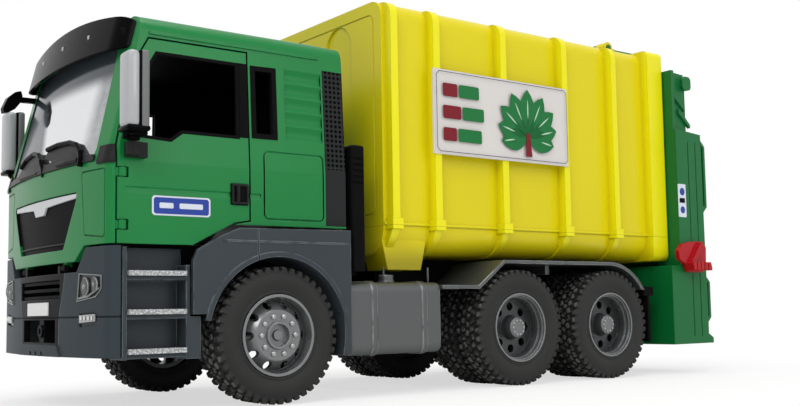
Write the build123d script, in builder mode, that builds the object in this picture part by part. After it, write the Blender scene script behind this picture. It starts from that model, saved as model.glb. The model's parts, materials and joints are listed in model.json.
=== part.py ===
from build123d import *
import os
from math import atan2, cos, degrees, pi, radians, sin, sqrt, tan

# A toy refuse lorry at about one sixteenth of full size, in millimetres.
# X runs forward, Y to the lorry's left and Z up, with the ground at zero.
# The origin is on the ground under the middle of the whole toy.

os.makedirs("parts", exist_ok=True)

# Wheels and axles
tyre_radius = 34.0
lug_height = 2.4
lug_count = 28
lug_width = 4.4
shoulder_width = 3.0
shoulder_taper = 34.0
tyre_width = 24.0
twin_width = 20.5
twin_gap = 2.5
tyre_outer_y = 77.0
rim_radius = 20.2
front_axle_x = 124.0
rear_axle_xs = (-39.5, -118.0)
stub_radius = 3.0
running_gap = 0.05
hub_gap = 0.6

# Chassis
rail_outer_y = 24.0
rail_width = 7.0
rail_bottom_z = 42.0
rail_top_z = 58.0
rail_front_x = 196.0
flange_wall = 2.0

# Cab
cab_front_x = 216.5
cab_side_y = 74.0
cab_rear_x = 82.0
cab_wall = 3.0
nose_drop = 7.0
nose_corner = 6.0
nose_bottom_z = 70.5
corner_bottom_z = 77.5
belt_z = 115.5
roof_z = 186.0
rake = 14.0
side_lean = 3.5
rear_skirt_z = 88.0
panel_gap = 0.8

# Doors
door_front_x = 206.0
door_rear_x = 139.0
door_top_z = 174.0
door_wall = 2.6
door_hinge_x = 203.5
door_hinge_y = 73.0
door_pin = 0.9
door_knuckle = 2.0
knuckle_height = 4.0
knuckle_zs = (84.0, 108.0)

# Bumper
bumper_bottom_z = 26.0
bumper_top_z = 65.5
bumper_wall = 3.0
bumper_rear_x = 204.5
tow_socket_z = 38.0
tow_socket_wall = 3.2
tow_socket_bore = 1.5
tow_socket_depth = 7.5

# Cab hinge
cab_hinge_x = 212.6
cab_hinge_z = 68.0
cab_hinge_pin = 1.2
cab_hinge_barrel = 2.0

# Container
box_front_x = 51.8
box_rear_x = -183.0
box_half_y = 66.0
box_wall = 2.5
box_floor_z = 76.0
box_seam_z = 93.0
box_roof_z = 218.5
box_edge_radius = 9.0
box_belly_radius = 16.0
rib_depth = 6.0
rib_width = 5.0
rib_xs = (47.0, 16.8, -34.9, -87.2, -133.5)
rear_frame_length = 15.0
rail_rear_x = box_rear_x + 17.0
rear_cross_x = rail_rear_x + 6.0

# Tailgate
tail_gap = 1.0
tail_half_y = 81.0
tail_wall = 2.5
tail_rear_x = box_rear_x - 29.0
tail_lip_x = tail_rear_x - 5.0
tail_bottom_z = 19.5
tail_hinge_x = box_rear_x + 31.0
tail_hinge_z = 222.5
tail_pin = 2.0


def side_plane(y):
    """A plane facing the right side, with X across and Z up."""
    return Plane((0, y, 0), x_dir=(1, 0, 0), z_dir=(0, -1, 0))


def outline(plane, points, radius=0.0):
    """A closed straight-sided face, its corners rounded where a radius is given."""
    with BuildSketch(plane) as sketch:
        with BuildLine():
            Polyline(*points, close=True)
        make_face()
        if radius:
            fillet(sketch.vertices(), radius)
    return sketch.sketch


def slab(x, y, z, mode=Mode.ADD):
    """A block between two stations each way."""
    with Locations(((x[0] + x[1]) / 2, (y[0] + y[1]) / 2, (z[0] + z[1]) / 2)):
        Box(abs(x[1] - x[0]), abs(y[1] - y[0]), abs(z[1] - z[0]), mode=mode)


def bar(x, y0, y1, z, radius, mode=Mode.ADD):
    """A round bar across the lorry."""
    with BuildSketch(side_plane(y1)) as sketch:
        with Locations((x, z)):
            Circle(radius)
    extrude(sketch.sketch, amount=y1 - y0, mode=mode)


def post(x, y, z, height, radius, mode=Mode.ADD):
    """An upright round post standing on a height."""
    with Locations((x, y, z)):
        Cylinder(radius, height, align=(Align.CENTER, Align.CENTER, Align.MIN), mode=mode)


def save(piece, name):
    """Names a finished piece and writes it."""
    piece.part.label = name
    export_step(piece.part, f"parts/{name}.step")


# Chassis frame: two channel rails joined by cross members
cross_xs = (190.0, 92.0, 30.0, -79.0, rear_cross_x)
with BuildPart() as chassis_frame:
    with BuildSketch(Plane.YZ.offset(rail_rear_x)) as rail_section:
        with Locations((rail_outer_y - rail_width / 2, (rail_bottom_z + rail_top_z) / 2)):
            Rectangle(rail_width, rail_top_z - rail_bottom_z)
        with Locations((rail_outer_y - flange_wall / 2, (rail_bottom_z + rail_top_z) / 2)):
            Rectangle(
                rail_width,
                rail_top_z - rail_bottom_z - 2 * flange_wall,
                align=(Align.MAX, Align.CENTER),
                mode=Mode.SUBTRACT,
            )
    extrude(amount=rail_front_x - rail_rear_x)
    mirror(about=Plane.XZ)
    for x in cross_xs:
        slab((x - 4, x + 4), (-rail_outer_y + 1, rail_outer_y - 1), (rail_bottom_z + 3, rail_top_z - 3))
    # Bearers that carry the container
    for x, half_y in ((38.0, 43.0), (-79.0, 30.0), (rear_cross_x, 43.0)):
        slab((x - 4, x + 4), (-half_y, half_y), (rail_top_z, box_floor_z))
save(chassis_frame, "chassis_frame")

# Engine: one plain block between the rails under the cab
engine_half_y = rail_outer_y - rail_width
with BuildPart() as engine_block:
    slab((101, 158), (-engine_half_y, engine_half_y), (46, 78))
save(engine_block, "engine_block")


def axle(name, x, inner_y, hub_y):
    """A beam under the rails with a stub for each wheel."""
    with BuildPart() as beam:
        bar(x, -inner_y, inner_y, tyre_radius, 5.0)
        bar(x, -hub_y, hub_y, tyre_radius, stub_radius)
        for side in (-1, 1):
            y = side * (rail_outer_y - rail_width / 2)
            slab((x - 9, x + 9), (y - 3, y + 3), (tyre_radius, rail_bottom_z))
    save(beam, name)


front_inner_y = tyre_outer_y - tyre_width
twin_inner_y = tyre_outer_y - 2 * twin_width - twin_gap
stub_end_y = tyre_outer_y - 6.0
axle("front_axle", front_axle_x, front_inner_y + 2, stub_end_y)
axle("rear_axle_first", rear_axle_xs[0], twin_inner_y + 1, stub_end_y)
axle("rear_axle_second", rear_axle_xs[1], twin_inner_y + 1, stub_end_y)


def tread_polygon(plane):
    """The carcass seen from the side, with one flat under each lug."""
    with BuildSketch(plane) as section:
        RegularPolygon(tyre_radius - lug_height, lug_count, rotation=180 / lug_count)
    return section.sketch


def tyre_ring(x, y0, y1, lugged=True):
    """One tyre with sloping shoulders, and lugs across its tread where they are seen."""
    middle = (y0 + y1) / 2
    half = (y1 - y0) / 2
    for facing in (-1, 1):
        plane = Plane((x, middle, tyre_radius), x_dir=(1, 0, 0), z_dir=(0, facing, 0))
        extrude(tread_polygon(plane), amount=half - shoulder_width)
        shoulder = tread_polygon(plane.offset(half - shoulder_width))
        extrude(shoulder, amount=shoulder_width, taper=shoulder_taper)
    if lugged:
        foot_z = 2 * tyre_radius - lug_height - 3
        profile = (
            (middle - half + 0.8, foot_z),
            (middle - half + shoulder_width, 2 * tyre_radius),
            (middle + half - shoulder_width, 2 * tyre_radius),
            (middle + half - 0.8, foot_z),
        )
        face = outline(Plane.YZ.offset(x - lug_width / 2), profile)
        lug = extrude(face, amount=lug_width, mode=Mode.PRIVATE)
        axle_line = Axis((x, 0, tyre_radius), (0, 1, 0))
        add([lug.rotate(axle_line, 360 * turn / lug_count) for turn in range(lug_count)])
    with BuildSketch(side_plane(y1)) as seat:
        with Locations((x, tyre_radius)):
            RegularPolygon(rim_radius, lug_count, major_radius=False, rotation=180 / lug_count)
    extrude(seat.sketch, amount=y1 - y0, mode=Mode.SUBTRACT)


def wheel_turning(x, points):
    """A solid turned about an axle, from points that give a station and a radius."""
    turned = outline(Plane((x, 0, tyre_radius), x_dir=(0, 1, 0), z_dir=(-1, 0, 0)), points)
    revolve(turned, axis=Axis((x, 0, tyre_radius), (0, 1, 0)))


def rim_holes(x, y, depth, count, circle_radius, hole_radius):
    """A ring of round holes through a rim's web."""
    with BuildSketch(side_plane(y)) as holes:
        with Locations((x, tyre_radius)):
            with PolarLocations(circle_radius, count):
                Circle(hole_radius)
    extrude(holes.sketch, amount=depth, mode=Mode.SUBTRACT)


def stub_bore(hub_in, web_y):
    """The part of a rim's outline that runs on the axle's stub."""
    end_y = stub_end_y + running_gap
    radius = stub_radius + running_gap
    return [(end_y, 0.0), (end_y, radius), (hub_in, radius), (hub_in, 8.0), (web_y, 9.0)]


def front_rim_form(x):
    """A rim whose web rises in a cone to a flange with a cupped hub."""
    inner_y = front_inner_y + 3
    lip_y = tyre_outer_y - 0.5
    profile = [
        (inner_y, rim_radius - 2.5),
        (inner_y, rim_radius),
        (lip_y, rim_radius),
        (lip_y, rim_radius - 1.4),
        (lip_y - 6.0, rim_radius - 2.7),
        (lip_y - 1.0, 12.4),
        (lip_y - 1.0, 7.1),
        (lip_y + 0.4, 6.8),
        (lip_y + 0.4, 5.6),
        (lip_y - 2.4, 5.2),
        (lip_y - 2.4, 2.8),
        (lip_y - 1.0, 2.4),
        (lip_y - 1.0, 0.0),
    ]
    profile += stub_bore(front_inner_y + 2 + hub_gap, lip_y - 3.5)
    profile += [(lip_y - 3.5, 12.0), (lip_y - 8.6, rim_radius - 3.2)]
    wheel_turning(x, profile)
    rim_holes(x, lip_y + 1, 10.5, 10, 15.2, 2.0)


def rear_rim_form(x):
    """A deeply dished rim with a stepped lip and a proud hub."""
    inner_y = twin_inner_y + 3
    lip_y = tyre_outer_y - 0.5
    web_y = lip_y - 9.5
    profile = [
        (inner_y, rim_radius - 2.5),
        (inner_y, rim_radius),
        (lip_y, rim_radius),
        (lip_y, rim_radius - 1.0),
        (lip_y - 1.5, rim_radius - 1.0),
        (lip_y - 1.5, rim_radius - 1.8),
        (lip_y - 4.0, rim_radius - 1.8),
        (lip_y - 4.0, rim_radius - 2.6),
        (web_y, rim_radius - 3.2),
        (web_y, 7.4),
        (web_y + 1.5, 6.6),
        (lip_y - 3.0, 6.0),
        (lip_y - 2.4, 5.2),
        (lip_y - 2.4, 0.0),
    ]
    profile += stub_bore(twin_inner_y + 1 + hub_gap, web_y - 2.5)
    profile += [(web_y - 2.5, rim_radius - 4.0)]
    wheel_turning(x, profile)
    rim_holes(x, web_y + 1, 5, 8, 12.4, 2.4)


for side_name, mirrored in (("left", False), ("right", True)):
    with BuildPart() as front_tyre:
        tyre_ring(front_axle_x, front_inner_y, tyre_outer_y)
        if mirrored:
            mirror(about=Plane.XZ, mode=Mode.REPLACE)
    save(front_tyre, f"front_tyre_{side_name}")
    with BuildPart() as front_rim:
        front_rim_form(front_axle_x)
        if mirrored:
            mirror(about=Plane.XZ, mode=Mode.REPLACE)
    save(front_rim, f"front_rim_{side_name}")
    for order, x in zip(("first", "second"), rear_axle_xs):
        with BuildPart() as twin_tyres:
            tyre_ring(x, tyre_outer_y - twin_width, tyre_outer_y)
            tyre_ring(x, twin_inner_y, twin_inner_y + twin_width, lugged=False)
            if mirrored:
                mirror(about=Plane.XZ, mode=Mode.REPLACE)
        save(twin_tyres, f"{order}_rear_tyres_{side_name}")
        with BuildPart() as twin_rim:
            rear_rim_form(x)
            if mirrored:
                mirror(about=Plane.XZ, mode=Mode.REPLACE)
        save(twin_rim, f"{order}_rear_rim_{side_name}")


def plan_face(z, inset, rear_x, side_y=cab_side_y):
    """The cab's plan: a gently curved nose and straight sides, set in by a wall."""
    front_x = cab_front_x - inset
    half_y = side_y - inset
    with BuildSketch(Plane.XY.offset(z)) as plan:
        with BuildLine():
            nose = ThreePointArc(
                (front_x - nose_drop, -half_y), (front_x, 0), (front_x - nose_drop, half_y)
            )
            Polyline(nose @ 1, (rear_x, half_y), (rear_x, -half_y), nose @ 0)
        make_face()
        fillet(plan.vertices().group_by(Axis.X)[-1], nose_corner - inset)
    return plan.sketch


def cab_volume(inset):
    """The cab's outer form, or the room inside it when set in by a wall."""
    below = nose_bottom_z if inset <= 0 else nose_bottom_z - 5
    top = roof_z - inset
    rise = top - belt_z
    half_y = cab_side_y - inset
    rear_x = cab_rear_x + inset
    lean = side_lean * rise / (roof_z - belt_z)
    with BuildPart() as form:
        extrude(plan_face(below, inset, rear_x), amount=belt_z - below)
        slope = radians(rake)
        extrude(
            plan_face(belt_z, inset, rear_x - 30),
            amount=rise / cos(slope),
            dir=(-sin(slope), 0, cos(slope)),
        )
        with BuildSketch(Plane.YZ.offset(rear_x - 1)) as front_view:
            with BuildLine():
                Polyline(
                    (-half_y, below),
                    (-half_y, belt_z),
                    (lean - half_y, top),
                    (half_y - lean, top),
                    (half_y, belt_z),
                    (half_y, below),
                    close=True,
                )
            make_face()
            fillet(front_view.vertices().group_by(Axis.Y)[-1], 9 - inset)
        extrude(amount=200, mode=Mode.INTERSECT)
        with BuildSketch(side_plane(100)) as side_view:
            with BuildLine():
                Polyline(
                    (rear_x, below),
                    (rear_x, top - 2),
                    (rear_x + 22, top),
                    (194 - inset, top),
                    (203 - inset, top - 9),
                    (240, top - 9),
                    (240, below),
                    close=True,
                )
            make_face()
            fillet(side_view.vertices().sort_by_distance((rear_x, 0, top - 2))[0], 8 - inset)
        extrude(amount=200, mode=Mode.INTERSECT)
    return form.part


# The skins of the cab, outside in, worked out once
crease_z = 103.0
with BuildPart() as creased_form:
    add(cab_volume(0))
    # A soft crease along the doors at the height of their handles
    for side in (-1, 1):
        valley = (
            (side * (cab_side_y - 0.7), crease_z),
            (side * (cab_side_y + 0.3), crease_z - 3.5),
            (side * (cab_side_y + 0.3), crease_z + 1.0),
        )
        extrude(outline(Plane.YZ.offset(132.5), valley), amount=70, mode=Mode.SUBTRACT)
outer_form = creased_form.part
inner_form = cab_volume(cab_wall)

door_points = (
    (door_front_x, corner_bottom_z),
    (door_front_x, 122.0),
    (198.0, 160.0),
    (190.0, door_top_z),
    (door_rear_x, door_top_z),
    (door_rear_x, 90.3),
    (147.0, 88.9),
    (158.0, 83.2),
    (169.0, corner_bottom_z),
)
window_points = (
    (199.0, 127.0),
    (193.5, 156.0),
    (186.5, 168.0),
    (144.0, 168.0),
    (144.0, 130.5),
    (174.0, 130.5),
    (180.0, 126.0),
)
glass_points = ((-60.0, 117.5), (60.0, 117.5), (56.0, 174.0), (-56.0, 174.0))
grille_points = (
    (-46.0, 103.0),
    (46.0, 103.0),
    (43.0, 97.0),
    (31.0, 76.5),
    (-31.0, 76.5),
    (-43.0, 97.0),
)


def nose_skin(name, points, outside, inside, corners=0.0):
    """A thin piece that follows the cab's curved front, cut to an outline seen from ahead."""
    with BuildPart() as skin:
        extrude(outline(Plane.YZ.offset(150), points, corners), amount=90)
        add(cab_volume(outside), mode=Mode.INTERSECT)
        add(cab_volume(inside), mode=Mode.SUBTRACT)
    save(skin, name)


# A strip round each rear corner of the cab
strip_zs = (rear_skirt_z + 1.0, 171.0)
strip_front_x = 94.5
strip_wall = 1.2
with BuildPart() as corner_grilles:
    add(outer_form)
    add(cab_volume(strip_wall), mode=Mode.SUBTRACT)
    slab((cab_rear_x, strip_front_x), (-90, 90), strip_zs, mode=Mode.INTERSECT)
    slab((cab_rear_x, strip_front_x), (-62, 62), strip_zs, mode=Mode.SUBTRACT)
save(corner_grilles, "corner_grilles")

# Lines moulded into the nose: the edges of a panel at each corner
with BuildPart() as nose_lines:
    for side in (-1, 1):
        panel = [(side * y, z) for y, z in ((52, 82), (70, 80), (70, 112), (49, 112))]
        border = outline(Plane.YZ.offset(200), panel, 2)
        extrude(border, amount=30)
        extrude(offset(border, amount=-0.7), amount=30, mode=Mode.SUBTRACT)
    add(cab_volume(0.7), mode=Mode.SUBTRACT)


def side_y_at(z):
    """How far out the cab's leaning side stands at a height."""
    return cab_side_y - side_lean * max(0.0, z - belt_z) / (roof_z - belt_z)


flute_pitch = 7.4
flute_radius = 6.0
flute_depth = 1.2
locker_corners = ((95.5, 91), (131, 91), (131, 125.5), (95.5, 125.5))

# Cab shell: one moulding with its door, window and grille openings cut
with BuildPart() as cab_shell:
    add(outer_form)
    add(inner_form, mode=Mode.SUBTRACT)
    door_opening = offset(outline(side_plane(100), door_points), amount=panel_gap, kind=Kind.INTERSECTION)
    extrude(door_opening, amount=200, mode=Mode.SUBTRACT)
    extrude(
        outline(
            side_plane(100),
            (
                (cab_rear_x - 1, 60),
                (cab_rear_x - 1, rear_skirt_z),
                (150, rear_skirt_z),
                (170, corner_bottom_z),
                (door_front_x + panel_gap, corner_bottom_z),
                (door_front_x + panel_gap, 60),
            ),
        ),
        amount=200,
        mode=Mode.SUBTRACT,
    )
    for side in (-1, 1):
        extrude(
            outline(
                Plane.YZ.offset(190),
                (
                    (side * 43, nose_bottom_z - 10),
                    (side * 43, nose_bottom_z),
                    (side * 52, corner_bottom_z),
                    (side * 90, corner_bottom_z),
                    (side * 90, nose_bottom_z - 10),
                ),
            ),
            amount=40,
            mode=Mode.SUBTRACT,
        )
    quarter = outline(side_plane(100), ((136, 133), (136, 166), (124.5, 167), (124.5, 133.5)), 1.5)
    extrude(quarter, amount=200, mode=Mode.SUBTRACT)
    extrude(outline(Plane.YZ.offset(185), glass_points, 5), amount=40, mode=Mode.SUBTRACT)
    extrude(outline(Plane.YZ.offset(205), grille_points, 1.5), amount=20, mode=Mode.SUBTRACT)
    add(corner_grilles.part, mode=Mode.SUBTRACT)
    add(nose_lines.part, mode=Mode.SUBTRACT)
    # Hollow flutes behind the quarter windows
    with BuildSketch(Plane.YZ.offset(95.5)) as flutes:
        for step in range(5):
            z = 135.7 + flute_pitch * step
            y = side_y_at(z) + flute_radius - flute_depth
            with Locations((-y, z), (y, z)):
                Circle(flute_radius)
    extrude(flutes.sketch, amount=22, mode=Mode.SUBTRACT)
    # The locker lids' grooves, and gutters above the doors
    for start in (100, -cab_side_y + 1.1):
        lid = outline(side_plane(start), locker_corners, 3)
        groove = lid - offset(lid, amount=-0.8)
        extrude(groove, amount=100 - cab_side_y + 1.1, mode=Mode.SUBTRACT)
    for side in (-1, 1):
        slab((97, 190), (side * 69, side * (side_y_at(177) + 0.7)), (176.2, 177.6))
    # Knuckles that the doors' pins turn in
    for side in (-1, 1):
        for z in knuckle_zs:
            slab((door_hinge_x, 208), (side * 70.5, side * 73), (z, z + knuckle_height))
            post(door_hinge_x, side * door_hinge_y, z, knuckle_height, door_knuckle)
            post(
                door_hinge_x,
                side * door_hinge_y,
                z,
                knuckle_height,
                door_pin + running_gap,
                mode=Mode.SUBTRACT,
            )
    # Barrels of the hinge that the cab tilts on
    for y0 in (26, -31):
        bar(cab_hinge_x, y0, y0 + 5, cab_hinge_z, cab_hinge_barrel)
        slab((cab_hinge_x - 2, cab_hinge_x + 0.6), (y0, y0 + 5), (cab_hinge_z, nose_bottom_z + 2))
        bar(cab_hinge_x, y0, y0 + 5, cab_hinge_z, cab_hinge_pin + running_gap, mode=Mode.SUBTRACT)
save(cab_shell, "cab_shell")

nose_skin("windscreen", [(y * 0.997, z) for y, z in glass_points], 0.5, 2.2, 5)
nose_skin("front_grille", [(y * 0.99, z) for y, z in grille_points], 1.2, cab_wall, 1.2)
nose_skin(
    "grille_trim",
    ((-44.2, 102.3), (44.2, 102.3), (43, 100.2), (9, 98.5), (6, 95), (-6, 95), (-9, 98.5), (-43, 100.2)),
    0.2,
    1.2,
)
nose_skin(
    "wiper_cowl",
    ((-61, 116), (61, 116), (60, 119), (30, 123), (10, 120), (-10, 123), (-35, 120), (-60, 119)),
    -0.9,
    0,
)

# Black caps at the feet of the pillars, in line with the mirrors' bases
with BuildPart() as pillar_caps:
    add(cab_volume(-0.8))
    add(outer_form, mode=Mode.SUBTRACT)
    slab((207, 214.5), (-90, 90), (114, 122.5), mode=Mode.INTERSECT)
    slab((200, 230), (-64, 64), (100, 130), mode=Mode.SUBTRACT)
save(pillar_caps, "pillar_caps")

# Front mirror: a drooping leaf on a short arm from the right pillar
with BuildPart() as front_mirror:
    leaf = (
        (216.8, 157.4),
        (217.2, 160.1),
        (214.6, 166.0),
        (210.8, 169.4),
        (207.6, 170.4),
        (206.8, 167.6),
        (208.1, 163.5),
        (210.8, 159.9),
        (214.0, 157.8),
    )
    extrude(outline(side_plane(-59.5), leaf, 0.6), amount=5)
    slab((195, 208), (-63.5, -60.5), (164.4, 167.2))
    add(outer_form, mode=Mode.SUBTRACT)
    slab((190, 199), (-70, -50), (150, 175), mode=Mode.SUBTRACT)
save(front_mirror, "front_mirror")

# Sun visor: a curved strip standing ahead of the roof's front edge
with BuildPart() as sun_visor:
    with BuildSketch(Plane.YZ.offset(150)) as visor_front:
        with BuildLine():
            brow = ThreePointArc((-64, 184), (0, 190.7), (64, 184))
            edge = ThreePointArc((-66, 168), (0, 170.5), (66, 168))
            Line(brow @ 0, edge @ 0)
            Line(brow @ 1, edge @ 1)
        make_face()
    extrude(visor_front.sketch, amount=90)
    add(cab_volume(-6), mode=Mode.INTERSECT)
    add(cab_volume(-4), mode=Mode.SUBTRACT)
    for y in ((-65, -62), (-1.5, 1.5), (62, 65)):
        slab((195, 212), y, (174, 184))
    add(cab_volume(-6), mode=Mode.INTERSECT)
    add(outer_form, mode=Mode.SUBTRACT)
    extrude(
        outline(side_plane(100), ((149, 160), (149, 200), (198, 200), (203, 160))),
        amount=200,
        mode=Mode.SUBTRACT,
    )
save(sun_visor, "sun_visor")


# Doors: each a skin cut from the cab's side, with its window and a black handle
door_blank = outer_form - cab_volume(door_wall)
mirror_pivot = (201.0, 79.0)
mirror_pin = 1.2
for side_name, side in (("left", 1), ("right", -1)):
    reach = (60, 90) if side > 0 else (-90, -60)
    with BuildPart() as door:
        add(door_blank)
        extrude(outline(side_plane(reach[1]), door_points), amount=30, mode=Mode.INTERSECT)
        extrude(outline(side_plane(reach[1]), window_points, 2.5), amount=30, mode=Mode.SUBTRACT)
        # The handle's recess
        handle_y = (cab_side_y - 1.2, cab_side_y + 1)
        slab((139.6, 149.2), (side * handle_y[0], side * handle_y[1]), (97.5, 108), mode=Mode.SUBTRACT)
        # Notches round the cab's knuckles, each crossed by the door's hinge pin
        for z in knuckle_zs:
            notch = (z - 0.4, z + knuckle_height + 0.4)
            slab((door_hinge_x - 2.7, 208), (side * 60, side * 90), notch, mode=Mode.SUBTRACT)
            post(door_hinge_x, side * door_hinge_y, z - 1.5, knuckle_height + 3, door_pin)
    save(door, f"door_{side_name}")
    with BuildPart() as handle:
        slab(
            (139.8, 149.0),
            (side * (cab_side_y - 1.2), side * (cab_side_y + 0.6)),
            (97.8, 107.8),
        )
    save(handle, f"door_handle_{side_name}")
    with BuildPart() as arm_base:
        slab((193.4, 203), (side * cab_side_y, side * (cab_side_y + 4)), (116.5, 123.5))
        post(mirror_pivot[0], side * mirror_pivot[1], 117, 6, 3.2)
        post(mirror_pivot[0], side * mirror_pivot[1], 117, 10, mirror_pin)
    save(arm_base, f"mirror_base_{side_name}")
    with BuildPart() as mirror_head:
        post(mirror_pivot[0], side * mirror_pivot[1], 123.9, 3.4, 3.2)
        slab((199.5, 203.5), (side * 80.5, side * 88), (125, 127.3))
        post(
            mirror_pivot[0],
            side * mirror_pivot[1],
            122,
            5.3,
            mirror_pin + running_gap,
            mode=Mode.SUBTRACT,
        )
        with BuildSketch(Plane.XY.offset(127)) as housing:
            with Locations((203.5, side * 86)):
                RectangleRounded(8, 13, 2.5)
        extrude(housing.sketch, amount=36)
    save(mirror_head, f"mirror_{side_name}")

# Cab floor, with the step up over the wheels and engine
with BuildPart() as cab_floor:
    extrude(
        outline(
            side_plane(70.6),
            (
                (85.2, rear_skirt_z + 1),
                (150, rear_skirt_z + 1),
                (160, 79),
                (206, 79),
                (206, 81),
                (161, 81),
                (151, rear_skirt_z + 3),
                (85.2, rear_skirt_z + 3),
            ),
        ),
        amount=2 * 70.6,
    )
    for side in (-1, 1):
        slab((195, 207), (side * 66, side * 72), (78, 82), mode=Mode.SUBTRACT)
save(cab_floor, "cab_floor")

with BuildPart() as dashboard:
    extrude(
        outline(
            side_plane(66),
            ((205, 81), (201, 84), (199, 98), (191, 104), (192, 110), (201, 115), (205, 115)),
        ),
        amount=132,
    )
save(dashboard, "dashboard")

with BuildPart() as seats:
    for y in (-36, 36):
        extrude(
            outline(
                side_plane(y + 18),
                (
                    (112, 91),
                    (150, 91),
                    (153, 98),
                    (150, 103),
                    (122, 101),
                    (110, 146),
                    (102, 148),
                    (100, 140),
                    (108, 100),
                ),
                2,
            ),
            amount=36,
        )
save(seats, "seats")

wheel_centre = (182.0, 36.0, 114.0)
with BuildPart() as steering_wheel:
    column = Plane(wheel_centre, x_dir=(0, 1, 0), z_dir=(-0.55, 0, 0.835))
    with BuildSketch(column) as hub:
        Circle(3)
        with PolarLocations(0, 3):
            Rectangle(13, 2, align=(Align.MIN, Align.CENTER))
    extrude(hub.sketch, amount=-1.6)
    with BuildSketch(Plane(wheel_centre, x_dir=(0, 1, 0), z_dir=(0.835, 0, 0.55))) as grip:
        with Locations((12.5, 0)):
            RegularPolygon(1.5, 6)
    revolve(grip.sketch, axis=Axis(wheel_centre, (-0.55, 0, 0.835)))
    with BuildSketch(column) as shaft:
        Circle(1.6)
    extrude(shaft.sketch, amount=-14)
    add(dashboard.part, mode=Mode.SUBTRACT)
save(steering_wheel, "steering_wheel")


# Bumper: the grey nose below the cab, with its lamp and grille openings
def bumper_volume(inset):
    """The bumper's outer form, or its hollow when set in by a wall."""
    base = bumper_bottom_z if inset <= 0 else bumper_bottom_z + inset
    with BuildPart() as form:
        face = plan_face(base, inset, bumper_rear_x - 15, cab_side_y + 1)
        extrude(face, amount=corner_bottom_z - 1 - base + 10 * (inset > 0))
    return form.part


seam_z = 44.2
with BuildPart() as bumper_seam:
    add(bumper_volume(0))
    add(bumper_volume(0.7), mode=Mode.SUBTRACT)
    slab((bumper_rear_x, 230), (-90, 90), (seam_z, seam_z + 0.7), mode=Mode.INTERSECT)

# The chin's raised patch
with BuildPart() as chin:
    chin_points = ((-30, bumper_bottom_z), (30, bumper_bottom_z), (26, 31.5), (-26, 31.5))
    extrude(outline(Plane.YZ.offset(200), chin_points), amount=30)
    add(bumper_volume(-0.9), mode=Mode.INTERSECT)
    add(bumper_volume(0.5), mode=Mode.SUBTRACT)

headlight_points = ((47, 52), (64, 54), (68, 57), (68, 63), (49, 64.5))
fog_points = ((48, 40), (64, 41), (64, 46.5), (48, 46))
with BuildPart() as bumper:
    add(bumper_volume(0))
    add(bumper_volume(bumper_wall), mode=Mode.SUBTRACT)
    add(bumper_seam.part, mode=Mode.SUBTRACT)
    add(chin.part)
    slab((bumper_rear_x - 20, bumper_rear_x), (-90, 90), (20, 90), mode=Mode.SUBTRACT)
    top_cut = outline(
        Plane.YZ.offset(190),
        (
            (-44 - 1.5, bumper_top_z),
            (-54, corner_bottom_z - 0.9),
            (-54, 90),
            (54, 90),
            (54, corner_bottom_z - 0.9),
            (44 + 1.5, bumper_top_z),
        ),
    )
    extrude(top_cut, amount=40, mode=Mode.SUBTRACT)
    nose_cuts = (
        ((-28, 53.5), (28, 53.5), (28, 62.5), (-28, 62.5)),
        ((-23, 32.5), (23, 32.5), (23, 43.5), (-23, 43.5)),
    )
    for points in nose_cuts:
        extrude(outline(Plane.YZ.offset(206), points), amount=20, mode=Mode.SUBTRACT)
    for y in (-8, 0, 8):
        slab((211, 220), (y - 1.3, y + 1.3), (25, 28.2), mode=Mode.SUBTRACT)
    for points in (headlight_points, fog_points):
        for side in (-1, 1):
            cut = outline(Plane.YZ.offset(200), [(side * y, z) for y, z in points], 1)
            extrude(cut, amount=20, mode=Mode.SUBTRACT)
    # The towing socket between the two slots of the lower recess
    slab((206, 214.5), (-tow_socket_wall, tow_socket_wall), (32, 44))
    with BuildSketch(Plane.YZ.offset(206)) as socket:
        with Locations((0, tow_socket_z)):
            Circle(tow_socket_wall)
    extrude(socket.sketch, amount=9.5)
    with BuildSketch(Plane.YZ.offset(215.5)) as socket_bore:
        with Locations((0, tow_socket_z)):
            Circle(tow_socket_bore)
    extrude(socket_bore.sketch, amount=-tow_socket_depth, mode=Mode.SUBTRACT)
    # Mounts on the ends of the rails, and the ears and pins the cab tilts on
    for side in (-1, 1):
        y = sorted((side * 17, side * 24))
        slab((rail_front_x, 214), y, (44, 52))
        y = sorted((side * 22.6, side * 25.4))
        slab((209.5, 213), y, (62.6, 66))
        slab((cab_hinge_x - 2, cab_hinge_x + 2), y, (64, cab_hinge_z + 1.5))
        y = sorted((side * 22.6, side * 31))
        bar(cab_hinge_x, y[0], y[1], cab_hinge_z, cab_hinge_pin)
save(bumper, "bumper")


def nose_pieces(name, groups, outside, inside, corners):
    """Pieces seated in the bumper's curved face, one for each outline seen from ahead."""
    with BuildPart() as pieces:
        for points in groups:
            extrude(outline(Plane.YZ.offset(190), points, corners), amount=40)
        add(bumper_volume(outside), mode=Mode.INTERSECT)
        add(bumper_volume(inside), mode=Mode.SUBTRACT)
    save(pieces, name)


def both_sides(points):
    """An outline and its mirror image."""
    return (points, [(-y, z) for y, z in points])


nose_pieces("headlights", both_sides(headlight_points), 0.4, bumper_wall, 1)
nose_pieces("fog_lamps", both_sides(fog_points), 0.8, bumper_wall, 1)
slats = [((-28, z), (28, z), (28, z + 1.6), (-28, z + 1.6)) for z in (53.6, 57.1, 60.6)]
nose_pieces("bumper_grille", slats, 0.8, bumper_wall, 0)
nose_pieces("number_plate", (((-15, 45.6), (15, 45.6), (15, 52.0), (-15, 52.0)),), -0.6, 0, 0.5)

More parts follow.
